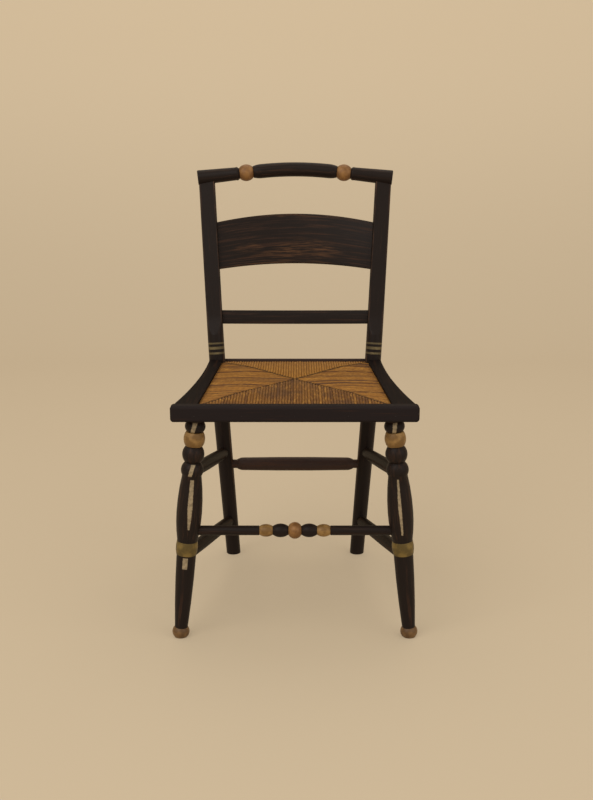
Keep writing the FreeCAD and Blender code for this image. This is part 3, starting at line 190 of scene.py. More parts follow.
class Effects:
    """The effects that several finishes share, each one a group that is built once."""

    def __init__(self) -> None:
        """Builds every effect."""
        self.streaks = self.build_streaks()
        self.relief = self.build_relief()
        self.stroke = self.build_stroke()

    @staticmethod
    def start(name: str, **inputs: float) -> tuple[Wiring, Sequence[NodeSocket]]:
        """Starts an effect.

        Args:
            name: The group's name.
            **inputs: Its numbers, each with its first value. A place comes before them.

        Returns:
            The wiring, and the group's inputs by name.
        """
        tree = bpy.data.node_groups.new(name, "ShaderNodeTree")
        tree.interface.new_socket("place", in_out="INPUT", socket_type="NodeSocketVector")
        for label, first in inputs.items():
            socket = tree.interface.new_socket(label, in_out="INPUT", socket_type="NodeSocketFloat")
            socket.default_value = first
        wiring = Wiring(tree)
        return wiring, wiring.node("NodeGroupInput").outputs

    @staticmethod
    def finish(wiring: Wiring, result: NodeSocket) -> NodeTree:
        """Ends an effect with the number that it puts out, and returns its group."""
        wiring.tree.interface.new_socket("result", in_out="OUTPUT", socket_type="NodeSocketFloat")
        wiring.node("NodeGroupOutput", {"result": result})
        return wiring.tree

    def build_streaks(self) -> NodeTree:
        """Brush streaks and wear that run with the grain."""
        wiring, given = self.start("brush_streaks", across=300.0, along=20.0, low=0.5, high=0.7)
        stretch = (given["across"], given["across"], given["along"])
        stretched = wiring.vector(*map(wiring.product, wiring.parts(given["place"]), stretch))
        cloud = wiring.cloud(stretched, 1.0, 5.0, 0.62)
        return self.finish(wiring, wiring.spread(cloud, given["low"], given["high"]))

    def build_relief(self) -> NodeTree:
        """The slight relief of a brushed coat over turned wood, with fine pits."""
        wiring, given = self.start("brushed_relief", across=700.0, along=60.0)
        brushed = wiring.effect(self.streaks, place=given["place"], across=given["across"],
                                along=given["along"], low=0.3, high=0.7)
        pits = wiring.cloud(given["place"], 900.0, 2.0)
        height = wiring.maths("ADD", wiring.product(pits, 0.35), wiring.product(brushed, 0.65))
        return self.finish(wiring, height)

    def build_stroke(self) -> NodeTree:
        """Painted highlight: a cream stroke down the front of a turned piece, from a high point to a low one.
        """
        wiring, given = self.start("painted_highlight", low_x=0.0, high_x=0.0, low_z=0.0, high_z=0.1,
                                   low_half=0.002, high_half=0.003)
        place = given["place"]
        x, y, z = wiring.parts(place)
        up = wiring.spread(z, given["low_z"], given["high_z"], way="LINEAR")
        centre, half = (wiring.spread(up, 0.0, 1.0, given[f"low_{size}"], given[f"high_{size}"], way="LINEAR")
                        for size in ("x", "half"))
        shake = wiring.product(wiring.maths("SUBTRACT", wiring.cloud(place, 320.0, 3.0), 0.5), 0.0022)
        aside = wiring.maths("ABSOLUTE", wiring.maths("SUBTRACT", x, centre))
        inside = wiring.maths("SUBTRACT", half, wiring.maths("ADD", aside, shake))
        body = wiring.spread(inside, -0.0006, 0.0008)
        ends = (wiring.spread(wiring.maths("SUBTRACT", high, low), -0.0005, 0.0015)
                for high, low in ((z, given["low_z"]), (given["high_z"], z)))
        opacity = wiring.spread(wiring.cloud(place, 170.0, 3.0), 0.3, 0.62, 0.62, 1.0)
        return self.finish(wiring, wiring.product(body, *ends, wiring.maths("LESS_THAN", y, 0.0), opacity))


EFFECTS = Effects()


class Surface(Wiring):
    """A material in the making: its nodes and its Principled shader."""

    def __init__(self, name: str) -> None:
        """Starts the material."""
        self.material = bpy.data.materials.new(name)
        self.material.use_nodes = True
        super().__init__(self.material.node_tree)
        self.shader = self.tree.nodes["Principled BSDF"]

    def place(self, grain: Grain) -> NodeSocket:
        """The place that a finish is worked out from, with the grain along its third number."""
        if grain is Grain.PIECE:
            return self.node("ShaderNodeAttribute", attribute_name="grain").outputs["Vector"]
        parts = self.parts(self.node("ShaderNodeTexCoord").outputs["Object"])
        return self.vector(*(parts[part] for part in grain.value))

    def streaks(self, place: NodeSocket, across: float, along: float, low: float, high: float) -> NodeSocket:
        """Streaks with the grain, as fine across and along it and as strong as the effect is told."""
        return self.effect(EFFECTS.streaks, place=place, across=across, along=along, low=low, high=high)

    def rise(self, height: NodeSocket, strength: float, depth: float = 0.0005) -> None:
        """Gives the surface its slight relief."""
        bump = self.node("ShaderNodeBump", {"Strength": strength, "Distance": depth, "Height": height})
        self.feed(self.shader, {"Normal": bump.outputs[0]})

    def finished(self, colour: NodeSocket, roughness: object, sheen: float = 0.5,
                 metallic: float = 0.0) -> Material:
        """Joins the colour and the rest to the shader, and returns the material."""
        self.feed(self.shader, {"Base Color": colour, "Roughness": roughness, "Specular IOR Level": sheen,
                                "Metallic": metallic})
        return self.material


@dataclass(frozen=True)
class PaintedHighlight:
    """A painted highlight: a cream stroke on the front of a piece, in the piece's own millimetres."""

    low_x: float
    high_x: float
    low_z: float
    high_z: float
    low_half: float
    high_half: float


@dataclass(frozen=True)
class Patch:
    """A soft oval of worn bronze: its middle and half widths, in the piece's own millimetres."""

    x: float
    z: float
    half_x: float
    half_z: float
    strength: float


@dataclass(frozen=True)
class Paint:
    """Dark paint over wood, brushed along the grain and worn to brown in streaks.

    The arris is how far aside the edges of a shaved flat lie. The paint is rubbed there, from the first
    number of the rub inwards to the second, where the wood reaches as far in front as the flat says.
    """

    name: str
    ground: Tint = Tint.BLACK
    worn: Tint = Tint.WORN_BROWN
    wear: tuple[float, float] = (0.5, 0.86)
    across: float = 260.0
    along: float = 9.0
    roughness: tuple[float, float] = (0.44, 0.64)
    sheen: float = 0.11
    grain: Grain = Grain.PIECE
    strokes: tuple[PaintedHighlight, ...] = ()
    patches: tuple[Patch, ...] = ()
    arris: float = 0.0
    rub: tuple[float, float] = (3.0, 0.4)
    flat: tuple[float, float] = (5.5, 6.8)

    def material(self) -> Material:
        """Builds the finish."""
        surface = Surface(self.name)
        place = surface.place(self.grain)
        wear = surface.streaks(place, self.across, self.along, *self.wear)
        colour = surface.blend(wear, self.ground, self.worn)
        for patch in self.patches:
            colour = surface.blend(self.patch_mask(surface, place, patch), colour, Tint.BRONZE)
        if self.arris:
            colour = surface.blend(self.arris_mask(surface, place), colour, Tint.RUBBED_BROWN)
        # Painted highlights: cream strokes down the front
        for stroke in self.strokes:
            sizes = {name: size * METRE for name, size in asdict(stroke).items()}
            colour = surface.blend(surface.effect(EFFECTS.stroke, place=place, **sizes), colour, Tint.CREAM)
        surface.rise(surface.effect(EFFECTS.relief, place=place), 0.22)
        return surface.finished(colour, surface.spread(wear, 0.0, 1.0, *self.roughness), self.sheen)

    def arris_mask(self, surface: Surface, place: NodeSocket) -> NodeSocket:
        """How far the paint is rubbed off at the edges of the flat on a shaved stick."""
        x, y, _ = surface.parts(place)
        near = surface.spread(surface.maths("ABSOLUTE", x), *((self.arris - rub) * METRE for rub in self.rub))
        front = surface.spread(y, *(-depth * METRE for depth in self.flat))
        return surface.product(near, front, surface.streaks(place, 90.0, 14.0, 0.38, 0.66))

    @staticmethod
    def patch_mask(surface: Surface, place: NodeSocket, patch: Patch) -> NodeSocket:
        """How much worn bronze shows at a place on a board's front: an oval broken up by streaks."""
        y, z, x = surface.parts(place)
        far = []
        for socket, middle, half in ((x, patch.x, patch.half_x), (z, patch.z, patch.half_z)):
            offset = surface.maths("SUBTRACT", socket, middle * METRE)
            share = surface.maths("DIVIDE", offset, half * METRE)
            far.append(surface.product(share, share))
        oval = surface.spread(surface.maths("ADD", *far), 1.2, 0.1)
        front = surface.maths("LESS_THAN", y, 0.0)
        return surface.product(oval, surface.streaks(place, 420.0, 26.0, 0.42, 0.66), front, patch.strength)


@dataclass(frozen=True)
class Gilding:
    """Bronze powder or ochre paint that stands for gold: mottled, with darker brush marks."""

    name: str
    base: Tint
    light: Tint
    metallic: float = 0.12
    roughness: float = 0.46
    sheen: float = 0.3

    def material(self) -> Material:
        """Builds the finish."""
        surface = Surface(self.name)
        place = surface.place(Grain.PIECE)
        mottle = surface.spread(surface.cloud(place, 62.0, 3.0), 0.38, 0.66)
        rubbed = surface.product(surface.streaks(place, 520.0, 260.0, 0.62, 0.8), 0.55)
        colour = surface.blend(rubbed, surface.blend(mottle, self.base, self.light), Tint.BRONZE)
        surface.rise(surface.effect(EFFECTS.relief, place=place, across=600.0, along=500.0), 0.2)
        return surface.finished(colour, self.roughness, self.sheen, self.metallic)


@dataclass(frozen=True)
class RushFinish:
    """Twisted rush: golden brown cords, each with its own tone, fibres and twist.

    It reads the lay that each cord notes: the way along it in metres, the share round it and its tone.
    """

    name: str = "twisted_rush"
    turns: float = 95.0
    lean: float = 2.0
    shift: float = 7.0
    fibre_scale: tuple[float, float, float] = (45.0, 3.0, 60.0)
    roughness: float = 0.62
    sheen: float = 0.14

    def material(self) -> Material:
        """Builds the finish."""
        surface = Surface(self.name)
        way, around, tone = surface.parts(
            surface.node("ShaderNodeAttribute", attribute_name="lay").outputs["Vector"])
        turned = surface.maths("ADD", surface.product(way, self.turns), surface.product(around, self.lean))
        turned = surface.maths("ADD", turned, surface.product(tone, self.shift))
        wave = surface.maths("SINE", surface.product(turned, 2 * math.pi))
        twist = surface.maths("ADD", surface.product(wave, 0.5), 0.5)
        seed = surface.vector(*map(surface.product, (way, around, tone), self.fibre_scale))
        fibres = surface.cloud(seed, 1.0, 4.0, 0.65)
        cloud = surface.cloud(surface.place(Grain.ALONG_Z), 13.0, 2.0)
        # Darker brown smudges in cloudy patches, strongest on the darkest cords
        smudge_share = surface.spread(tone, 0.6, 0.4, 0.06, 0.75)
        colour = surface.blend(surface.spread(tone, 0.0, 1.0), Tint.RUSH_DARK, Tint.RUSH)
        # Lighter fibres at random, painted shade in the twist's grooves, darker smudges, and painted shade at
        # the mitres
        for share, strength, over in (
                (surface.spread(fibres, 0.46, 0.74), 0.75, Tint.RUSH_LIGHT),
                (surface.spread(twist, 0.28, 0.0), 0.3, Tint.RUSH_DARK),
                (surface.spread(cloud, 0.47, 0.66), smudge_share, Tint.RUSH_SOILED),
                (surface.spread(way, 0.0075, 0.002), 0.85, Tint.RUSH_SHADE)):
            colour = surface.blend(surface.product(share, strength), colour, over)
        height = surface.maths("ADD", surface.product(twist, 0.7), surface.product(fibres, 0.5))
        surface.rise(height, 0.35, 0.0008)
        return surface.finished(colour, self.roughness, self.sheen)


@dataclass(frozen=True)
class Plain:
    """A plain finish with a little uneven tone, for what hardly shows."""

    name: str
    base: Tint
    shade: Tint
    roughness: float
    grain: Grain = Grain.ALONG_Z

    def material(self) -> Material:
        """Builds the finish."""
        surface = Surface(self.name)
        streaks = surface.streaks(surface.place(self.grain), 180.0, 14.0, 0.35, 0.8)
        return surface.finished(surface.blend(streaks, self.base, self.shade), self.roughness)


def meshed(work: BMesh, name: str, finishes: Sequence[Material]) -> Mesh:
    """Turns mesh work into a smooth mesh with its finishes, and frees the work."""
    bmesh.ops.recalc_face_normals(work, faces=work.faces)
    mesh = bpy.data.meshes.new(name)
    work.to_mesh(mesh)
    work.free()
    mesh.shade_smooth()
    for finish in finishes:
        mesh.materials.append(finish)
    return mesh


def stand(name: str, data: ID) -> Object:
    """Puts a mesh, a lamp or a camera in the scene, and returns its object."""
    made = bpy.data.objects.new(name, data)
    bpy.context.scene.collection.objects.link(made)
    return made


def deliver(work: BMesh, name: str, place: Matrix, finishes: Sequence[Material], node: str,
            crease: float = 38.0) -> None:
    """Turns finished mesh work into a piece that rides on the chair.

    Args:
        work: The mesh, in millimetres and in its own frame. It is freed.
        name: The piece's name.
        place: The frame that it goes to, in millimetres.
        finishes: Its materials, in the order of its faces' paint numbers.
        node: The CAD node that it replaces.
        crease: The least angle, in degrees, at which an edge stays sharp.
    """
    bmesh.ops.remove_doubles(work, verts=work.verts, dist=WELD)
    bmesh.ops.transform(work, matrix=Matrix.Scale(METRE, 4) @ place, verts=work.verts)
    mesh = meshed(work, name, finishes)
    mesh.set_sharp_from_angle(angle=math.radians(crease))
    piece = stand(name, mesh)
    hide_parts(node)
    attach(piece, "root")
    LOG.info("%s: %d faces, for %s", name, len(mesh.polygons), node)


def dress(node: str, finish: Material) -> None:
    """Gives a CAD node that stays its finish."""
    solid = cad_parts[node]
    if not solid.material_slots:
        solid.data.materials.append(finish)
    for held in solid.material_slots:
        held.material = finish
    LOG.info("%s: kept, in %s", node, finish.name)


def upright(point: Sequence[float], along: Vector, across: Vector) -> Matrix:
    """A frame at a point, with its z along one direction and its x as near as can be to another."""
    z = along.normalized()
    x = (across - z * across.dot(z)).normalized()
    return Matrix.Translation(point) @ Matrix((x, z.cross(x), z)).transposed().to_4x4()


def only(items: Iterable[object], kind: type) -> list:
    """The items of one kind, such as the corners among what a mesh operator made."""
    return [item for item in items if isinstance(item, kind)]


def notes(work: BMesh, name: str) -> BMLayerItem:
    """The layer of mesh work that notes three numbers at each corner, by its name."""
    layers = work.verts.layers.float_vector
    return layers.get(name) or layers.new(name)


def saw(work: BMesh, height: float, keep_above: bool) -> None:
    """Saws mesh work level at a height, keeps one side of the cut and closes it."""
    cut = bmesh.ops.bisect_plane(work, geom=[*work.verts, *work.edges, *work.faces], plane_co=UP * height,
                                 plane_no=-UP if keep_above else UP, clear_outer=True)["geom_cut"]
    bmesh.ops.holes_fill(work, edges=only(cut, BMEdge), sides=0)


def grow(work: BMesh, sides: int, places: Sequence[Matrix]) -> Iterator[tuple[list, list, list]]:
    """Grows a tube from place to place, each one the size and frame of a ring.

    Args:
        work: The mesh that the tube is added to.
        sides: How many sides it has.
        places: The frames of its rings, in order, each one scaled by the ring's half widths.

    Yields:
        Each ring's corners, its edges, and the faces between it and the ring before.
    """
    ring = bmesh.ops.create_circle(work, segments=sides, radius=1.0, cap_ends=False)["verts"]
    edges = list(dict.fromkeys(edge for vert in ring for edge in vert.link_edges))
    bmesh.ops.transform(work, matrix=places[0], verts=ring)
    yield ring, edges, []
    for before, after in zip(places, places[1:]):
        made = bmesh.ops.extrude_edge_only(work, edges=edges)["geom"]
        ring = only(made, BMVert)
        held = set(ring)
        edges = [edge for edge in only(made, BMEdge) if held.issuperset(edge.verts)]
        bmesh.ops.transform(work, matrix=after @ before.inverted(), verts=ring)
        yield ring, edges, only(made, BMFace)


@dataclass(frozen=True)
class Bend:
    """A stick's line with one rounded corner, in a plane of its own: x and y of that plane."""

    start: Vector
    corner: Vector
    finish: Vector
    radius: float

    @property
    def first_way(self) -> Vector:
        """The direction of the first straight."""
        return (self.corner - self.start).normalized()

    @property
    def last_way(self) -> Vector:
        """The direction of the last straight."""
        return (self.finish - self.corner).normalized()

    @property
    def half_turn(self) -> float:
        """Half the turn from the first straight to the last, in radians."""
        return self.first_way.angle(self.last_way) / 2

    @property
    def first(self) -> Vector:
        """Where the arc starts."""
        return self.corner - self.first_way * (self.radius * math.tan(self.half_turn))

    @property
    def last(self) -> Vector:
        """Where the arc ends."""
        return self.corner + self.last_way * (self.radius * math.tan(self.half_turn))

    @property
    def centre(self) -> Vector:
        """The middle of the arc's circle."""
        inward = ((self.first + self.last) / 2 - self.corner).normalized()
        return self.corner + inward * (self.radius / math.cos(self.half_turn))


@dataclass(frozen=True)
class Layout:
    """The chair's main lines, which every sub-assembly hangs on."""

    depth: float = 516.0
    seat_top: float = 460.0
    strip_height: float = 30.0
    post_foot_half: float = 140.0
    post_crest_half: float = 187.0
    post_setback: float = 394.0
    post_rake: float = 58.0
    post_bend_below_seat: float = 30.0
    post_bend_radius: float = 600.0
    crest_above_seat: float = 375.0
    crest_rise: float = 18.6
    crest_bow: float = 17.4
    pillow_half: float = 72.0
    pillow_dia: float = 30.0
    leg_setback: float = 36.0
    leg_foot_half: float = 217.3
    leg_top_half: float = 178.6
    tenon_stop: float = 5.0

    @property
    def front_y(self) -> float:
        """The chair's front face."""
        return -self.depth / 2

    @property
    def crest_z(self) -> float:
        """The height of the crest's line over the posts."""
        return self.seat_top + self.crest_above_seat

    @property
    def under_seat(self) -> float:
        """The height of the seat frame's underside."""
        return self.seat_top - self.strip_height

    @property
    def splay(self) -> float:
        """How far a post leans out, in radians."""
        return math.atan2(self.post_crest_half - self.post_foot_half, self.crest_z)

    @property
    def leg_splay(self) -> float:
        """How far a front leg leans in towards its top, in radians."""
        return math.atan2(self.leg_foot_half - self.leg_top_half, self.under_seat)

    @property
    def crest_apex(self) -> float:
        """How far the crest's line rises in its own plane, up to the point where its arms would meet."""
        return math.hypot(self.crest_rise, self.crest_bow)

    @property
    def crest_slope(self) -> float:
        """The slope of the crest's arms in its own plane, in radians."""
        return math.atan2(self.crest_apex, self.post_crest_half)

    @property
    def pillow_radius(self) -> float:
        """The radius of the bend in the crest's middle."""
        return self.pillow_half / math.sin(self.crest_slope)

    @property
    def post_y(self) -> float:
        """The depth of the posts' corner."""
        return self.front_y + self.post_setback

    @property
    def post_lean(self) -> float:
        """How far back of its corner a post stands at the crest."""
        share = 1 - self.pillow_radius * (1 / math.cos(self.crest_slope) - 1) / self.crest_apex
        return self.depth / 2 - self.pillow_dia / 2 - share * self.crest_bow - self.post_y

    @property
    def post_line(self) -> Bend:
        """A post's line in its own upright plane: back, then up along the post."""
        rise = 1 / math.cos(self.splay)
        corner = Vector((0.0, (self.seat_top - self.post_bend_below_seat) * rise))
        return Bend(Vector((self.post_rake, 0.0)), corner, Vector((self.post_lean, self.crest_z * rise)),
                    self.post_bend_radius)

    @property
    def post_frame(self) -> Matrix:
        """The right post's frame, on the floor below its line."""
        foot = Vector((self.post_foot_half, self.post_y, 0.0))
        return Matrix.Translation(foot) @ Matrix.Rotation(self.splay, 4, "Y")

    def post_section(self, along: float) -> Matrix:
        """A post's section that far up it, in its own frame: z runs up the post and y backwards."""
        line = self.post_line
        if line.first.y < along < line.last.y:
            up = along - line.centre.y
            out = math.sqrt(line.radius ** 2 - up ** 2)
            point, way = Vector((line.centre.x - out, along)), Vector((up, out))
        else:
            end, way = (line.first, line.first_way) if along <= line.first.y else (line.last, line.last_way)
            point = end + way * ((along - end.y) / way.y)
        return upright((0.0, *point), Vector((0.0, *way)), ACROSS)

    def post_point(self, height: float) -> Vector:
        """The point of the right post's line at a height above the floor."""
        return self.post_frame @ self.post_section(height / math.cos(self.splay)).translation

    def leg_point(self, height: float) -> Vector:
        """The point of the right front leg's line at a height above the floor."""
        across = self.leg_foot_half - height * math.tan(self.leg_splay)
        return Vector((across, self.front_y + self.leg_setback, height))

    def back_frame(self, height: float) -> Matrix:
        """The plane of the back at a height: x across, y backwards and z up along the posts."""
        point, top = self.post_point(height), self.post_point(self.crest_z)
        lean = math.atan2(top.y - point.y, top.z - point.z)
        return Matrix.Translation((0.0, point.y, height)) @ Matrix.Rotation(-lean, 4, "X")

    def inset(self, start: Vector, end: Vector) -> tuple[Vector, Vector]:
        """A stretcher's line, short of the middle of what it runs into at each end."""
        way = (end - start).normalized()
        return start + way * self.tenon_stop, end - way * self.tenon_stop


@dataclass(frozen=True)
class Cut:
    """One step of a turned profile, from its station to the next one's.

    The bulge is how far the curve to the next step stands out from the straight between them.
    """

    station: float
    radius: float
    bulge: float = 0.0
    paint: int = 0


@dataclass
class Turning:
    """A lathe-turned length of wood. The finest is the most that a curve turns in one step, in radians."""

    cuts: Sequence[Cut]
    steps: int = 56
    finest: float = 0.16

    def profile(self) -> list[tuple[float, float]]:
        """The stations and radii of the profile, its curves taken in short steps."""
        points = []
        for cut, following in zip(self.cuts, self.cuts[1:]):
            points.append((cut.station, cut.radius))
            if not cut.bulge:
                continue
            rise, run = following.station - cut.station, following.radius - cut.radius
            chord = math.hypot(rise, run)
            half = 2 * math.atan(2 * cut.bulge / chord)
            count = max(3, math.ceil(abs(2 * half) / self.finest))
            for step in range(1, count):
                turn = half * (2 * step / count - 1)
                along = (1 + math.sin(turn) / math.sin(half)) / 2
                out = cut.bulge * (math.cos(turn) - math.cos(half)) / (1 - math.cos(half)) / chord
                points.append((cut.station + rise * along - run * out, cut.radius + run * along + rise * out))
        return [*points, (self.cuts[-1].station, self.cuts[-1].radius)]

    def spun(self, work: BMesh, place: Matrix = STILL, low_end: bool = True) -> None:
        """Spins the profile into mesh work.

        Args:
            work: The mesh that the turned length is added to.
            place: A frame to move it to, before it joins the rest.
            low_end: Whether its low end is closed, as its high end is.
        """
        grain = notes(work, "grain")
        before = {*work.verts, *work.faces}
        points = self.profile()
        points.append((points[-1][0], 0.0))
        if low_end:
            points.insert(0, (points[0][0], 0.0))
        line = [work.verts.new((radius, 0.0, station)) for station, radius in points]
        edges = [work.edges.new(pair) for pair in zip(line, line[1:])]
        bmesh.ops.spin(work, geom=line + edges, cent=(0.0, 0.0, 0.0), axis=UP, dvec=(0.0, 0.0, 0.0),
                       angle=2 * math.pi, steps=self.steps, use_merge=True, use_duplicate=False)
        verts = [vert for vert in work.verts if vert not in before]
        for vert in verts:
            vert[grain] = vert.co * METRE
        for face in (face for face in work.faces if face not in before):
            station = face.calc_center_median().z + 1e-6
            face.material_index = next((cut.paint for cut in reversed(self.cuts[:-1])
                                        if cut.station <= station), self.cuts[0].paint)
        bmesh.ops.remove_doubles(work, verts=verts, dist=WELD)
        bmesh.ops.transform(work, matrix=place, verts=[vert for vert in work.verts if vert not in before])


@dataclass(frozen=True)
class Section:
    """One section of a stick: its frame, its radius, how far along the stick it is, and its paint."""

    place: Matrix
    radius: float
    length: float
    paint: int = 0


@dataclass
class Stick:
    """A round stick along any line. Its shave says how far its front reaches, where it has a flat."""

    sections: Sequence[Section]
    sides: int = 56
    shave: Optional[Callable[[float], float]] = None

    def grown(self, work: BMesh, closed: bool = True) -> None:
        """Grows the stick in mesh work, with its ends closed or left open."""
        grain = notes(work, "grain")
        places = [item.place @ Matrix.Diagonal((item.radius, item.radius, 1.0, 1.0))
                  for item in self.sections]
        rims = []
        for section, (ring, edges, faces) in zip(self.sections, grow(work, self.sides, places)):
            for face in faces:
                face.material_index = section.paint
            self.mark(ring, grain, section)
            rims.append(edges)
        if closed:
            for rim in (rims[0], rims[-1]):
                bmesh.ops.holes_fill(work, edges=rim, sides=0)

    def mark(self, ring: Iterable[BMVert], grain: BMLayerItem, section: Section) -> None:
        """Shaves a ring's front where the stick has a flat, and notes each corner's place in the grain."""
        limit = self.shave(section.length) if self.shave else section.radius
        inward = section.place.inverted()
        for vert in ring:
            own = inward @ vert.co
            if own.y < -limit:
                own.y = -limit
                vert.co = section.place @ own
            vert[grain] = Vector((own.x, own.y, section.length)) * METRE


def between(low: float, high: float, parts: int) -> set[float]:
    """The places that part a length evenly, without its ends."""
    return {low + (high - low) * step / parts for step in range(1, parts)}


@dataclass
class Back:
    """The two rear posts, the crest, the wide slat and the narrow rail below it."""

    layout: Layout
    black: Material
    post_paint: Material
    slat_paint: Material
    gilt: Material
    band_paint: Material
    post_dia: float = 34.0
    foot_dia: float = 31.0
    foot_waste: float = 8.0
    flat_depth: float = 7.0
    flat_above_seat: float = 50.0
    flat_runout: float = 40.0
    saddle_drop: float = 6.0
    bands: tuple[tuple[float, float], ...] = ((470.0, 474.0), (480.0, 485.5), (490.5, 494.0))
    overhang: float = 19.0
    end_dia: float = 31.0
    arm_dia: float = 27.0
    crease_dia: float = 22.0
    ball_half: float = 103.5
    ball_dia: float = 35.0
    ball_len: float = 29.0
    pillow_shoulder_dia: float = 25.0
    sanded: float = 0.15
    board_stop: float = 4.0
    board_round: float = 2.2
    board_cuts: int = 63

    def build(self) -> None:
        """Builds every piece of the back."""
        for side, flip in SIDES:
            self.post(side, flip)
        self.crest()
        self.board("back_slat", (184.0, 279.5), (17.0, 25.0), 9.0, 28.0, self.slat_paint)
        self.board("lower_back_rail", (73.0, 101.0), (0.0, 0.0), 9.0, 10.0, self.black)

    def post(self, side: str, flip: Matrix) -> None:
        """Builds one rear post: tapered foot, bend, bands and the flat on its upper front."""
        layout = self.layout
        line = layout.post_line
        rise = 1 / math.cos(layout.splay)
        low, high = line.first.y, line.last.y
        top = line.finish.y - line.last_way.y * self.saddle_drop
        flat = (layout.seat_top + self.flat_above_seat) * rise
        bands = [(start * rise, end * rise) for start, end in self.bands]
        marks = {-self.foot_waste, low / 2, low, high, top, flat, flat + self.flat_runout}
        marks.update(*bands, between(low, high, 24), between(flat, flat + self.flat_runout, 10),
                     between(high, top, 8))
        sections = []
        for along in sorted(marks):
            radius = (self.foot_dia + (self.post_dia - self.foot_dia) * clamp(along / low)) / 2
            banded = any(start + 0.01 < along <= end + 0.01 for start, end in bands)
            sections.append(Section(layout.post_section(along), radius, along, int(banded)))
        half = self.post_dia / 2

        def shave(along: float) -> float:
            """How far in front of the line the wood reaches at a place along the post."""
            share = clamp((along - flat) / self.flat_runout)
            return half - (half - self.flat_depth) * math.sin(share * math.pi / 2)

        work = bmesh.new()
        Stick(sections, shave=shave).grown(work)
        bmesh.ops.transform(work, matrix=layout.post_frame, verts=work.verts)
        saw(work, 0.0, keep_above=True)
        deliver(work, f"{side}_rear_post_wood", flip, (self.post_paint, self.band_paint), f"{side}_rear_post")

    def crest(self) -> None:
        """Builds the crest: the bent pillow, and on each side a ball and a plain arm."""
        layout = self.layout
        half = layout.post_crest_half
        slope = layout.crest_slope
        line = Bend(Vector((-half, 0.0)), Vector((0.0, layout.crest_apex)), Vector((half, 0.0)),
                    layout.pillow_radius)
        ball = (self.ball_half - layout.pillow_half) / math.cos(slope)
        end = (half + self.overhang - layout.pillow_half) / math.cos(slope)
        low, high = ball - self.ball_len / 2, ball + self.ball_len / 2
        crease, shoulder = self.crease_dia / 2, self.pillow_shoulder_dia / 2
        pillow = layout.pillow_dia / 2 - self.sanded
        arm = Turning((
            Cut(0.0, pillow, (pillow - shoulder) / 4),
            Cut(low - 1.5, shoulder, 0.4),
            Cut(low, crease, (self.ball_dia - self.crease_dia) / 2, 1),
            Cut(high, crease),
            Cut(high + 1.5, crease + 0.6, (self.arm_dia - self.crease_dia) / 4),
            Cut(high + 7.5, self.arm_dia / 2),
            Cut(end - 2.5, self.end_dia / 2, 0.7),
            Cut(end, self.end_dia / 2 - 2.5)))
        work = bmesh.new()
        way = Vector((line.last_way.x, 0.0, line.last_way.y))
        arm_frame = upright((line.last.x, 0.0, line.last.y), way, BACKWARD)
        for _, flip in SIDES:
            arm.spun(work, flip @ arm_frame, low_end=False)
        sections = []
        for step in range(17):
            turn = slope * (step / 8 - 1)
            sine, cosine = math.sin(turn), math.cos(turn)
            point = (line.centre.x + line.radius * sine, 0.0, line.centre.y + line.radius * cosine)
            place = upright(point, Vector((cosine, 0.0, -sine)), BACKWARD)
            sections.append(Section(place, pillow, line.radius * turn))
        Stick(sections).grown(work, closed=False)
        tilt = math.atan2(layout.crest_bow, layout.crest_rise)
        middle = (0.0, layout.post_point(layout.crest_z).y, layout.crest_z)
        deliver(work, "crest_rail_wood", Matrix.Translation(middle) @ Matrix.Rotation(-tilt, 4, "X"),
                (self.black, self.gilt), "crest_rail")

    def board(self, node: str, heights: tuple[float, float], arches: tuple[float, float], thick: float,
              bow: float, paint: Material) -> None:
        """Builds a bent board between the posts.

        Args:
            node: The CAD node that it stands for.
            heights: Its lower and upper edge above the seat, at the posts.
            arches: How far its lower and upper edges rise in the middle.
            thick: Its thickness.
            bow: How far its middle stands back.
            paint: Its finish.
        """
        low, high = (self.layout.seat_top + height for height in heights)
        place = self.layout.back_frame((low + high) / 2)
        reach = (high - low) / 2 / (place.to_3x3() @ UP).z
        half_low, half_high = (self.layout.post_point(edge).x - self.board_stop for edge in (low, high))
        radius = (half_high ** 2 + bow ** 2) / (2 * bow)
        work = bmesh.new()

        def long_edges() -> list[BMEdge]:
            """The edges that run from one end of the board to the other."""
            return [edge for edge in work.edges if abs(edge.verts[0].co.x - edge.verts[1].co.x) > 1.0]

        bmesh.ops.create_cube(work, size=2.0)
        bmesh.ops.transform(work, matrix=Matrix.Diagonal((1.0, thick / 2, reach, 1.0)), verts=work.verts)
        bmesh.ops.bevel(work, geom=long_edges(), offset=self.board_round, affect="EDGES", segments=4,
                        profile=0.5, material=-1)
        bmesh.ops.subdivide_edges(work, edges=long_edges(), cuts=self.board_cuts, use_grid_fill=True)
        grain = notes(work, "grain")
        for vert in work.verts:
            share, up = vert.co.x, (vert.co.z / reach + 1) / 2
            across = share * (half_low + (half_high - half_low) * up)
            arch = arches[0] + (arches[1] - arches[0]) * up
            back = bow - radius + math.sqrt(radius ** 2 - across ** 2)
            vert[grain] = Vector((vert.co.y, vert.co.z, across)) * METRE
            vert.co = Vector((across, vert.co.y + thick / 2 + back, vert.co.z + arch * (1 - share ** 2)))
        deliver(work, f"{node}_board", place, (paint,), node)


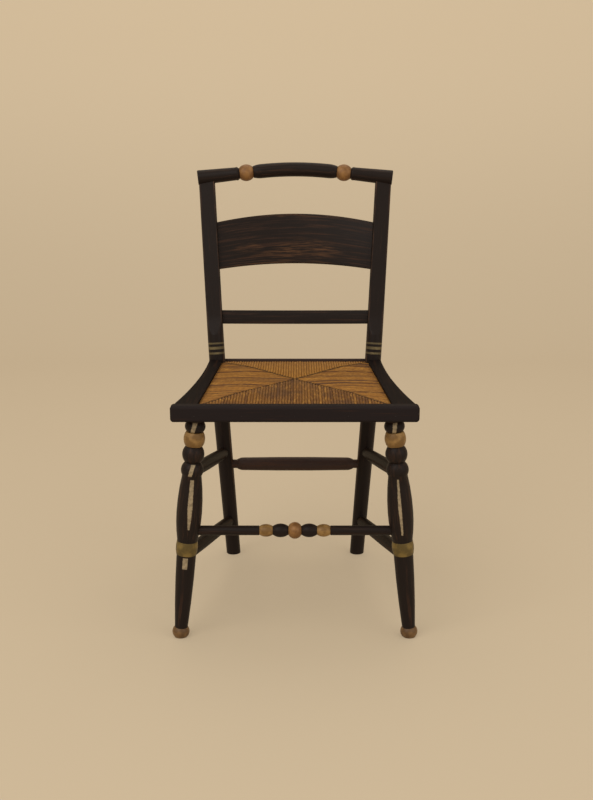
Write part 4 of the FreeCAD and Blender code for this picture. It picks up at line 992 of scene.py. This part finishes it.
@dataclass
class FrontLegs:
    """The two turned front legs. The drops lead down from the top, neck first, to below the low ring."""

    layout: Layout
    grounds: dict[str, Material]
    rings: tuple[Material, ...]
    drops: tuple[float, ...] = (6.0, 20.0, 27.0, 31.0, 25.0, 128.0, 26.0)
    tenon_cover: float = 0.6

    def cuts(self) -> tuple[Cut, ...]:
        """The leg's profile from the floor up: paint 0 is black, 1 gold, 2 olive and 3 amber."""
        length = self.layout.under_seat / math.cos(self.layout.leg_splay)
        neck, top_bead, ring, ball, low_bead, vase, low_ring = (
            length - drop for drop in accumulate(self.drops))
        return (
            Cut(-5.0, 11.5, 0.0, 3),
            Cut(0.0, 11.5, 4.35, 3),
            Cut(20.0, 12.25, 1.2),
            Cut(low_ring - 0.2, 18.25),
            Cut(low_ring, 19.0, 1.5, 2),
            Cut(vase, 19.0),
            Cut(vase + 0.2, 18.75, 1.2),
            Cut(vase + 56.0, 23.6, 1.45),
            Cut(low_bead, 17.75, 4.56),
            Cut(ball, 14.0, 6.25),
            Cut(ring, 14.0, 0.0, 1),
            Cut(ring + 0.6, 16.0, 3.5, 1),
            Cut(top_bead - 0.6, 16.0, 0.0, 1),
            Cut(top_bead, 14.0, 4.75),
            Cut(neck, 14.0),
            Cut(length + 3.0, 14.0))

    def build(self) -> None:
        """Builds both legs, each cut level at the floor and at the seat."""
        layout = self.layout
        place = Matrix.Translation(layout.leg_point(0.0)) @ Matrix.Rotation(-layout.leg_splay, 4, "Y")
        for side, flip in SIDES:
            work = bmesh.new()
            Turning(self.cuts(), steps=64).spun(work, place)
            saw(work, 0.0, keep_above=True)
            saw(work, layout.under_seat + self.tenon_cover, keep_above=False)
            node = f"{side}_front_leg"
            deliver(work, f"{node}_wood", flip, (self.grounds[side], *self.rings), node)


@dataclass
class Stretchers:
    """The fancy front stretcher, the plain rear one and the two on each side."""

    layout: Layout
    black: Material
    brown: Material
    shaded: Material
    ochre: Material
    gilt: Material
    neck: float = 9.5
    neck_length: float = 19.5
    shoulder_length: float = 16.0
    arm: float = 9.0
    crease: float = 8.0
    turnings: tuple[float, float, float] = (12.0, 41.0, 65.5)

    def stick(self, node: str, start: Vector, end: Vector, turning: Turning,
              paints: Sequence[Material]) -> None:
        """Delivers a turned stick from one point to another, with its frame's x kept level."""
        work = bmesh.new()
        turning.spun(work)
        way = end - start
        deliver(work, f"{node}_wood", upright(start, way, UP.cross(way)), paints, node)

    def plain(self, node: str, start: Vector, end: Vector, thick: float, paint: Material) -> None:
        """Builds a plain turned stretcher: a neck at each end, quick shoulders and a slight swell."""
        length = (end - start).length
        near, far = self.neck_length, length - self.neck_length
        shoulder, step = thick / 2 - 1.0, (thick / 2 - self.neck) / 4
        cuts = (
            Cut(0.0, self.neck),
            Cut(near, self.neck, step),
            Cut(near + self.shoulder_length, shoulder, 1.0),
            Cut(far - self.shoulder_length, shoulder, step),
            Cut(far, self.neck),
            Cut(length, self.neck))
        self.stick(node, start, end, Turning(cuts, steps=40), (paint,))

    def fancy(self) -> None:
        """Builds the front stretcher: plain arms, and a ball, two beads and two smaller balls."""
        end = self.layout.leg_point(213.5)
        start, end = self.layout.inset(MIRROR @ end, end)
        length = (end - start).length
        middle = length / 2
        ball, bead, last = self.turnings
        cuts = (
            Cut(0.0, self.arm),
            Cut(middle - last - 1.0, self.arm),
            Cut(middle - last, self.crease, 3.75, 1),
            Cut(middle - bead, self.crease, 4.75),
            Cut(middle - ball, self.crease, 7.5, 2),
            Cut(middle + ball, self.crease, 4.75),
            Cut(middle + bead, self.crease, 3.75, 1),
            Cut(middle + last, self.crease),
            Cut(middle + last + 1.0, self.arm),
            Cut(length, self.arm))
        paints = (self.black, self.ochre, self.gilt)
        self.stick("front_stretcher", start, end, Turning(cuts, steps=48), paints)

    def build(self) -> None:
        """Builds all six stretchers."""
        self.fancy()
        right = self.layout.post_point(219.7)
        self.plain("rear_stretcher", *self.layout.inset(MIRROR @ right, right), 30.0, self.brown)
        for level, front, rear in (("upper", 327.0, 247.0), ("lower", 165.0, 82.0)):
            start, end = self.layout.inset(self.layout.leg_point(front), self.layout.post_point(rear))
            for side, flip in SIDES:
                self.plain(f"{level}_{side}_side_stretcher", flip @ start, flip @ end, 26.0, self.shaded)


@dataclass
class RushSeat:
    """The woven seat: cords over all four rails that dive where two fields meet, round a packed core.

    Beside an ear of the front rail and round a rear post, cords stop short instead of going over the rail.
    """

    rush: Material
    core: Material
    front_half: float = 193.6
    rear_half: float = 171.2
    front_y: float = -247.7
    rear_y: float = 157.0
    middle_y: float = -11.0
    rail_z: float = 442.0
    roll: float = 12.0
    crown: float = 3.0
    crown_at: float = 0.6
    flat_at: float = 0.89
    hollow: float = 0.8
    pitch: float = 5.25
    cord_wide: float = 5.5
    cord_thick: float = 4.0
    shortest: float = 4.0
    ear_back: float = -194.0
    ear_side: float = 151.5
    ear_stop: float = 183.0
    ear_gap: float = 2.2
    post_x: float = 164.9
    post_y: float = 144.3
    post_reach: float = 17.6
    post_front: float = 126.5
    post_side: float = 146.5
    # Painted shade: about a third of the side cords, at random, take the dark tone, for the shade between
    # cords
    side_tones: tuple[float, float] = (0.05, 0.66)
    dark_share: float = 0.3
    # Painted light and shade: the rear field is lighter and the front one darker, for how light falls on each
    rear_tone: float = 1.0
    front_tone: float = 0.42
    packing: float = 0.975
    packed_under: float = 2.6
    chance: random.Random = field(default_factory=lambda: random.Random(1828))
    laid: int = 0

    def build(self) -> None:
        """Builds the cords and the core between them."""
        work = bmesh.new()
        for depth in self.places(self.front_y, self.rear_y):
            for side in (1.0, -1.0):
                self.side_cord(work, depth, side)
        for end_y, half in ((self.front_y, self.front_half), (self.rear_y, self.rear_half)):
            for across in self.places(-half, half):
                self.end_cord(work, across, end_y, half)
        LOG.info("rush_seat: %d cords", self.laid)
        self.add_core(work)
        deliver(work, "rush_seat_weave", STILL, (self.rush, self.core), "rush_seat", crease=75.0)

    def places(self, low: float, high: float) -> list[float]:
        """The cords' places across a field, a cord's width apart."""
        count = int((high - low) // self.pitch)
        start = (low + high - (count - 1) * self.pitch) / 2
        return [start + number * self.pitch for number in range(count)]

    def top(self, share: float, reach: float) -> float:
        """The height of the rush's top above the rails' middle, at a share of the way out to the edge."""
        from_edge = max(0.0, (1 - share) * reach)
        rolled = self.roll * math.sqrt(1 - (1 - min(1.0, from_edge / self.roll)) ** 2)
        if share >= self.crown_at:
            return rolled + self.crown * max(0.0, (self.flat_at - share) / (self.flat_at - self.crown_at))
        climb = math.sin(share / self.crown_at * math.pi / 2) ** 2
        return rolled - self.hollow + (self.crown + self.hollow) * climb

    def round_post(self, aside: float) -> float:
        """How far a rear post reaches past its middle, at a distance aside of it."""
        return math.sqrt(max(0.0, self.post_reach ** 2 - aside ** 2))

    def side_cord(self, work: BMesh, depth: float, side: float) -> None:
        """Adds a cord that runs across a side field, if there is room for it."""
        end_y = self.front_y if depth < self.middle_y else self.rear_y
        share = (depth - self.middle_y) / (end_y - self.middle_y)
        slant = (self.rear_half - self.front_half) / (self.rear_y - self.front_y)
        level = self.front_half - slant * (self.front_y - self.middle_y)
        taper = slant * (depth - self.middle_y)
        inner = level * share + taper
        stop = None
        if depth < self.ear_back:
            stop = self.ear_stop
        elif depth > self.post_front:
            stop = self.post_x - self.round_post(depth - self.post_y)
        if stop is None or stop - inner >= self.shortest:
            tone = self.side_tones[0 if self.chance.random() < self.dark_share else 1]
            self.cord(work, Vector((0.0, depth, 0.0)), ACROSS * side, inner, level + taper, share, stop, tone)

    def end_cord(self, work: BMesh, across: float, end_y: float, half: float) -> None:
        """Adds a cord that runs from front to back in the front or rear field, if there is room for it."""
        rear = end_y > self.middle_y
        reach = abs(end_y - self.middle_y)
        share = abs(across) / half
        stop = None
        if rear and abs(across) > self.post_side:
            stop = self.post_y - self.round_post(abs(across) - self.post_x) - self.middle_y
        elif not rear and abs(across) > self.ear_side:
            stop = reach - self.ear_gap
        if stop is None or stop - share * reach >= self.shortest:
            self.cord(work, Vector((across, self.middle_y, 0.0)), BACKWARD if rear else -BACKWARD,
                      share * reach, reach, share, stop, self.rear_tone if rear else self.front_tone)

    def cord(self, work: BMesh, middle: Vector, outward: Vector, inner: float, edge: float, share: float,
             stop: Optional[float], tone: float) -> None:
        """Adds one cord, from where two fields meet, over the rail and back below it.

        Args:
            work: The mesh that it is added to.
            middle: The point on the floor that distances out are taken from.
            outward: The direction out.
            inner: The distance out at which the cord starts.
            edge: The distance out of the seat's edge.
            share: The share of the way out at which the cord starts.
            stop: The distance out at which it ends instead of going round the rail.
            tone: The field's tone, from 0 for dark to 1 for light.
        """
        thick = self.cord_thick * self.chance.uniform(0.92, 1.06)
        lift = self.chance.uniform(-0.3, 0.25)
        own_tone = clamp(tone + self.chance.gauss(0.0, 0.09))
        run = (edge - self.roll if stop is None else stop) - inner

        def point(out: float, height: float) -> Vector:
            """The point of the cord's path at a distance out and a height above the rails' middle."""
            return middle + outward * out + UP * (self.rail_z + height)

        path = []
        for part in (0.0, min(0.3, 4.5 / max(run, 1.0)), 0.4, 0.7, 1.0):
            level = share + (1 - share) * run * part / max(edge - inner, 1.0)
            dip = 0.0 if path else 1.6
            path.append(point(inner + run * part, self.top(level, edge) - thick / 2 - dip + lift))
        if stop is None:
            bow = self.roll - thick / 2
            for turn in map(math.radians, (60.0, 25.0, -15.0, -60.0)):
                path.append(point(edge - self.roll + bow * math.cos(turn), bow * math.sin(turn)))
            path += (point(edge - self.roll, -bow), point(inner, 1.5 - bow))
        steps = [(after - before).length for before, after in zip(path, path[1:])]
        size = Matrix.Diagonal((self.cord_wide / 2, thick / 2, 1.0, 1.0))
        places = []
        for index, here in enumerate(path):
            way = path[min(len(path) - 1, index + 1)] - path[max(0, index - 1)]
            places.append(upright(here, way, UP.cross(outward)) @ size)
        lay = notes(work, "lay")
        for place, gone, (ring, _, _) in zip(places, accumulate(steps, initial=0.0), grow(work, 6, places)):
            self.note(ring, lay, place.inverted(), gone, own_tone)
        self.laid += 1

    @staticmethod
    def note(ring: Iterable[BMVert], lay: BMLayerItem, inward: Matrix, gone: float, tone: float) -> None:
        """Notes a ring's lay, with the seam of the share round it on the cord's inner side."""
        for vert in ring:
            own = inward @ vert.co
            around = (math.atan2(own.y, own.x) / (2 * math.pi) + 0.25) % 1.0
            vert[lay] = Vector((gone * METRE, around, tone))

    def add_core(self, work: BMesh) -> None:
        """Adds the packing between the cords: a closed cushion just under them, painted dark for the shade in
        the gaps.
        """
        rims = []
        for face in (1.0, -1.0):
            made = bmesh.ops.create_grid(work, x_segments=28, y_segments=28, size=1.0)["verts"]
            for vert in made:
                across, along = vert.co.x, vert.co.y
                share = max(abs(across), abs(along), 1e-6)
                end_y = self.rear_y if along > 0 else self.front_y
                depth = self.middle_y + abs(along) * (end_y - self.middle_y) * self.packing
                half = self.front_half * (share - along) / 2 + self.rear_half * (share + along) / 2
                high = self.top(share * 0.999, 190.0) - (self.packed_under if share < 0.99 else 0.0)
                if face < 0:
                    high = min(self.roll - self.packed_under, high)
                vert.co = Vector((across / share * half * self.packing, depth,
                                  self.rail_z + face * max(0.0, high)))
            faces = dict.fromkeys(item for vert in made for item in vert.link_faces)
            edges = dict.fromkeys(edge for item in faces for edge in item.edges)
            rims += (edge for edge in edges if len(edge.link_faces) == 1)
            for item in faces:
                item.material_index = 1
        for item in bmesh.ops.bridge_loops(work, edges=rims)["faces"]:
            item.material_index = 1


@dataclass(frozen=True)
class SeatFrame:
    """The casings, the rails inside the seat, the nails and the pegs: nodes that stay as they are."""

    finishes: tuple[tuple, ...] = (
        # Painted light: the front strip takes a lighter black, for light on its face
        (Paint("front_strip_painted_light", Tint.FRONT_BLACK, grain=Grain.ALONG_X, wear=(0.55, 0.95),
               roughness=(0.59, 0.79), sheen=0.03), ("front_facing_strip",)),
        # Painted light: the rear strip takes the lighter brown black, for light on its face in the shade
        # behind the rush
        (Paint("rear_strip_painted_light", Tint.BROWN_BLACK, grain=Grain.ALONG_X), ("rear_seat_strip",)),
        # Painted shade: the side strips take a darker black, so that their lit tops stay dark
        (Paint("side_strip_painted_shade", Tint.CASING_BLACK, grain=Grain.ALONG_Y, wear=(0.5, 0.95),
               roughness=(0.64, 0.84), sheen=0.03), ("left_side_strip", "right_side_strip")),
        (Plain("bare_wood_across", Tint.BARE_WOOD, Tint.WORN_BROWN, 0.7, Grain.ALONG_X),
         ("front_seat_rail", "rear_seat_rail")),
        (Plain("bare_wood_deep", Tint.BARE_WOOD, Tint.WORN_BROWN, 0.7, Grain.ALONG_Y),
         ("left_seat_rail", "right_seat_rail")),
        (Plain("painted_iron", Tint.BLACK, Tint.IRON, 0.85), ("strip_brads",)),
        (Paint("peg_paint", grain=Grain.ALONG_Y), ("back_pegs",)))

    def build(self) -> None:
        """Dresses each node in its finish."""
        for finish, nodes in self.finishes:
            material = finish.material()
            for node in nodes:
                dress(node, material)


@dataclass
class Studio:
    """The pale paper sweep, the soft lamps and the camera, in metres."""

    camera_at: tuple[float, float, float] = (0.003, -2.102, 0.942)
    pitch: float = 14.3
    lens: float = 48.6
    paper_half: float = 9.0
    bend_y: float = 2.2
    bend_radius: float = 1.4
    wall_top: float = 7.0
    paper_dark: float = 0.45
    paper_glow: float = 0.47
    lamps: tuple[tuple, ...] = (
        ("key_lamp", (-1.7, -2.3, 2.7), 2.6, 50.0),
        ("fill_lamp", (2.4, -1.9, 1.7), 2.6, 20.0),
        ("top_lamp", (0.2, 1.2, 3.1), 2.8, 18.0))

    def build(self) -> None:
        """Sets the stage round the chair."""
        self.sweep()
        self.world()
        for lamp in self.lamps:
            self.lamp(*lamp)
        self.camera()
        bpy.context.scene.view_settings.view_transform = "Standard"

    def sweep(self) -> None:
        """Builds the floor, which rises behind the chair in one curve."""
        work = bmesh.new()
        left = -self.paper_half
        corners = [work.verts.new((left, y, 0.0)) for y in (left, self.bend_y)]
        work.edges.new(corners)
        bmesh.ops.spin(work, geom=corners[1:], cent=(left, self.bend_y, self.bend_radius), axis=ACROSS,
                       angle=math.pi / 2, steps=24, dvec=(0.0, 0.0, 0.0), use_merge=False,
                       use_duplicate=False)
        top = max(work.verts, key=lambda vert: (vert.co.z, vert.co.y))
        work.edges.new((top, work.verts.new((left, top.co.y, self.wall_top))))
        made = bmesh.ops.extrude_edge_only(work, edges=list(work.edges))["geom"]
        bmesh.ops.translate(work, vec=ACROSS * 2 * self.paper_half, verts=only(made, BMVert))
        floor = stand("paper_sweep", meshed(work, "paper_sweep", (self.paper(),)))

    def paper(self) -> Material:
        """Pale paper, darker at the floor, that gives off part of its own tone."""
        surface = Surface("pale_paper")
        height = surface.parts(surface.place(Grain.ALONG_Z))[2]
        colour = surface.blend(surface.spread(height, 0.0, 1.6), Tint.FLOOR_PAPER, Tint.WALL_PAPER)
        surface.feed(surface.shader, {"Emission Color": colour, "Emission Strength": self.paper_glow})
        return surface.finished(surface.blend(self.paper_dark, colour, Tint.DARKNESS), 0.95, 0.05)

    def world(self) -> None:
        """Lights the room evenly, and shows the paper's colour where nothing stands."""
        world = bpy.data.worlds.new("soft_room")
        world.use_nodes = True
        bpy.context.scene.world = world
        wiring = Wiring(world.node_tree)
        world.node_tree.nodes.clear()
        rays = wiring.node("ShaderNodeLightPath").outputs
        seen = wiring.maths("MAXIMUM", rays["Is Camera Ray"], rays["Is Glossy Ray"])
        light = wiring.node("ShaderNodeBackground", {"Color": (1.0, 0.97, 0.93, 1.0), "Strength": 0.86})
        paper = wiring.node("ShaderNodeBackground", {"Color": Tint.WALL_PAPER, "Strength": 0.8})
        either = wiring.node("ShaderNodeMixShader", {0: seen, 1: light.outputs[0], 2: paper.outputs[0]})
        wiring.node("ShaderNodeOutputWorld", {0: either.outputs[0]})

    @staticmethod
    def lamp(name: str, place: tuple[float, float, float], size: float, power: float) -> None:
        """Hangs a large soft lamp that faces the chair's middle."""
        data = bpy.data.lights.new(name, "AREA")
        data.shape, data.size, data.energy = "SQUARE", size, power
        lamp = stand(name, data)
        lamp.location = place
        lamp.rotation_mode = "QUATERNION"
        lamp.rotation_quaternion = (UP * 0.4 - Vector(place)).to_track_quat("-Z", "Y")

    def camera(self) -> None:
        """Stands the camera where the picture was seen from."""
        data = bpy.data.cameras.new("camera")
        data.lens, data.sensor_width, data.sensor_fit = self.lens, 36.0, "AUTO"
        data.clip_start, data.clip_end = 0.05, 60.0
        camera = stand("camera", data)
        camera.location = self.camera_at
        camera.rotation_euler = (math.radians(90.0 - self.pitch), 0.0, 0.0)
        bpy.context.scene.camera = camera


# Painted cream highlights down the left leg, from its top bead to below its low ring, fewer down the right
# one
LEG_HIGHLIGHTS = {
    "left": (
        PaintedHighlight(3.2, -0.8, 406.0, 426.0, 3.6, 4.2),
        PaintedHighlight(2.4, -2.6, 324.5, 347.0, 3.4, 3.8),
        PaintedHighlight(-2.4, -2.6, 262.0, 319.0, 4.6, 3.4),
        PaintedHighlight(-2.6, -2.4, 223.0, 265.0, 1.8, 4.6),
        PaintedHighlight(0.0, 0.0, 143.0, 166.0, 4.6, 4.8)),
    "right": (
        PaintedHighlight(-2.8, 0.8, 406.0, 426.0, 3.4, 4.0),
        PaintedHighlight(-2.0, -1.9, 262.0, 320.0, 3.2, 1.8),
        PaintedHighlight(-0.7, -2.0, 212.0, 265.0, 1.6, 3.2))}

# Worn bronze on the front of the wide slat, in long soft ovals
SLAT_PATCHES = (
    Patch(28.0, -20.0, 80.0, 22.0, 0.6),
    Patch(-40.0, -30.0, 60.0, 9.0, 0.45),
    Patch(-98.0, -14.0, 34.0, 10.0, 0.5),
    Patch(-40.0, -46.0, 130.0, 5.0, 0.55),
    Patch(30.0, 45.0, 140.0, 4.0, 0.4))


def main() -> None:
    """Builds the whole chair and its stage, in order."""
    logging.basicConfig(level=logging.INFO, format="%(name)s: %(message)s")
    layout = Layout()
    black = Paint("black_paint").material()
    # Painted shade: the side stretchers take a darker black, so that their lit tops stay dark
    shaded = Paint("side_stretcher_painted_shade", Tint.SHADED_BLACK, sheen=0.02).material()
    post_paint = Paint("post_paint", wear=(0.56, 0.95), along=14.0, arris=15.5).material()
    legs = {side: Paint(f"{side}_leg_paint", across=200.0, strokes=strokes).material()
            for side, strokes in LEG_HIGHLIGHTS.items()}
    brown = Paint("brown_black_paint", Tint.BROWN_BLACK, wear=(0.42, 0.8)).material()
    slat_paint = Paint("slat_paint", wear=(0.46, 0.84), patches=SLAT_PATCHES).material()
    gilt = Gilding("orange_gilt", Tint.GILT, Tint.GILT_LIGHT).material()
    ochre = Gilding("ochre_gilt", Tint.OCHRE, Tint.OCHRE_LIGHT).material()
    olive = Gilding("olive_gilt", Tint.OLIVE, Tint.OLIVE_LIGHT).material()
    amber = Gilding("amber_gilt", Tint.AMBER, Tint.AMBER_LIGHT).material()
    band = Gilding("band_gilt", Tint.BAND, Tint.BAND_LIGHT).material()
    # The packing is real, and painted the dark of shade for the gaps between the cords
    core = Plain("rush_packing", Tint.RUSH_SHADE, Tint.RUSH_DARK, 0.9).material()
    Studio().build()
    Back(layout, black, post_paint, slat_paint, gilt, band).build()
    FrontLegs(layout, legs, (ochre, olive, amber)).build()
    Stretchers(layout, black, brown, shaded, ochre, gilt).build()
    RushSeat(RushFinish().material(), core).build()
    SeatFrame().build()


if __name__ == "__main__":
    main()
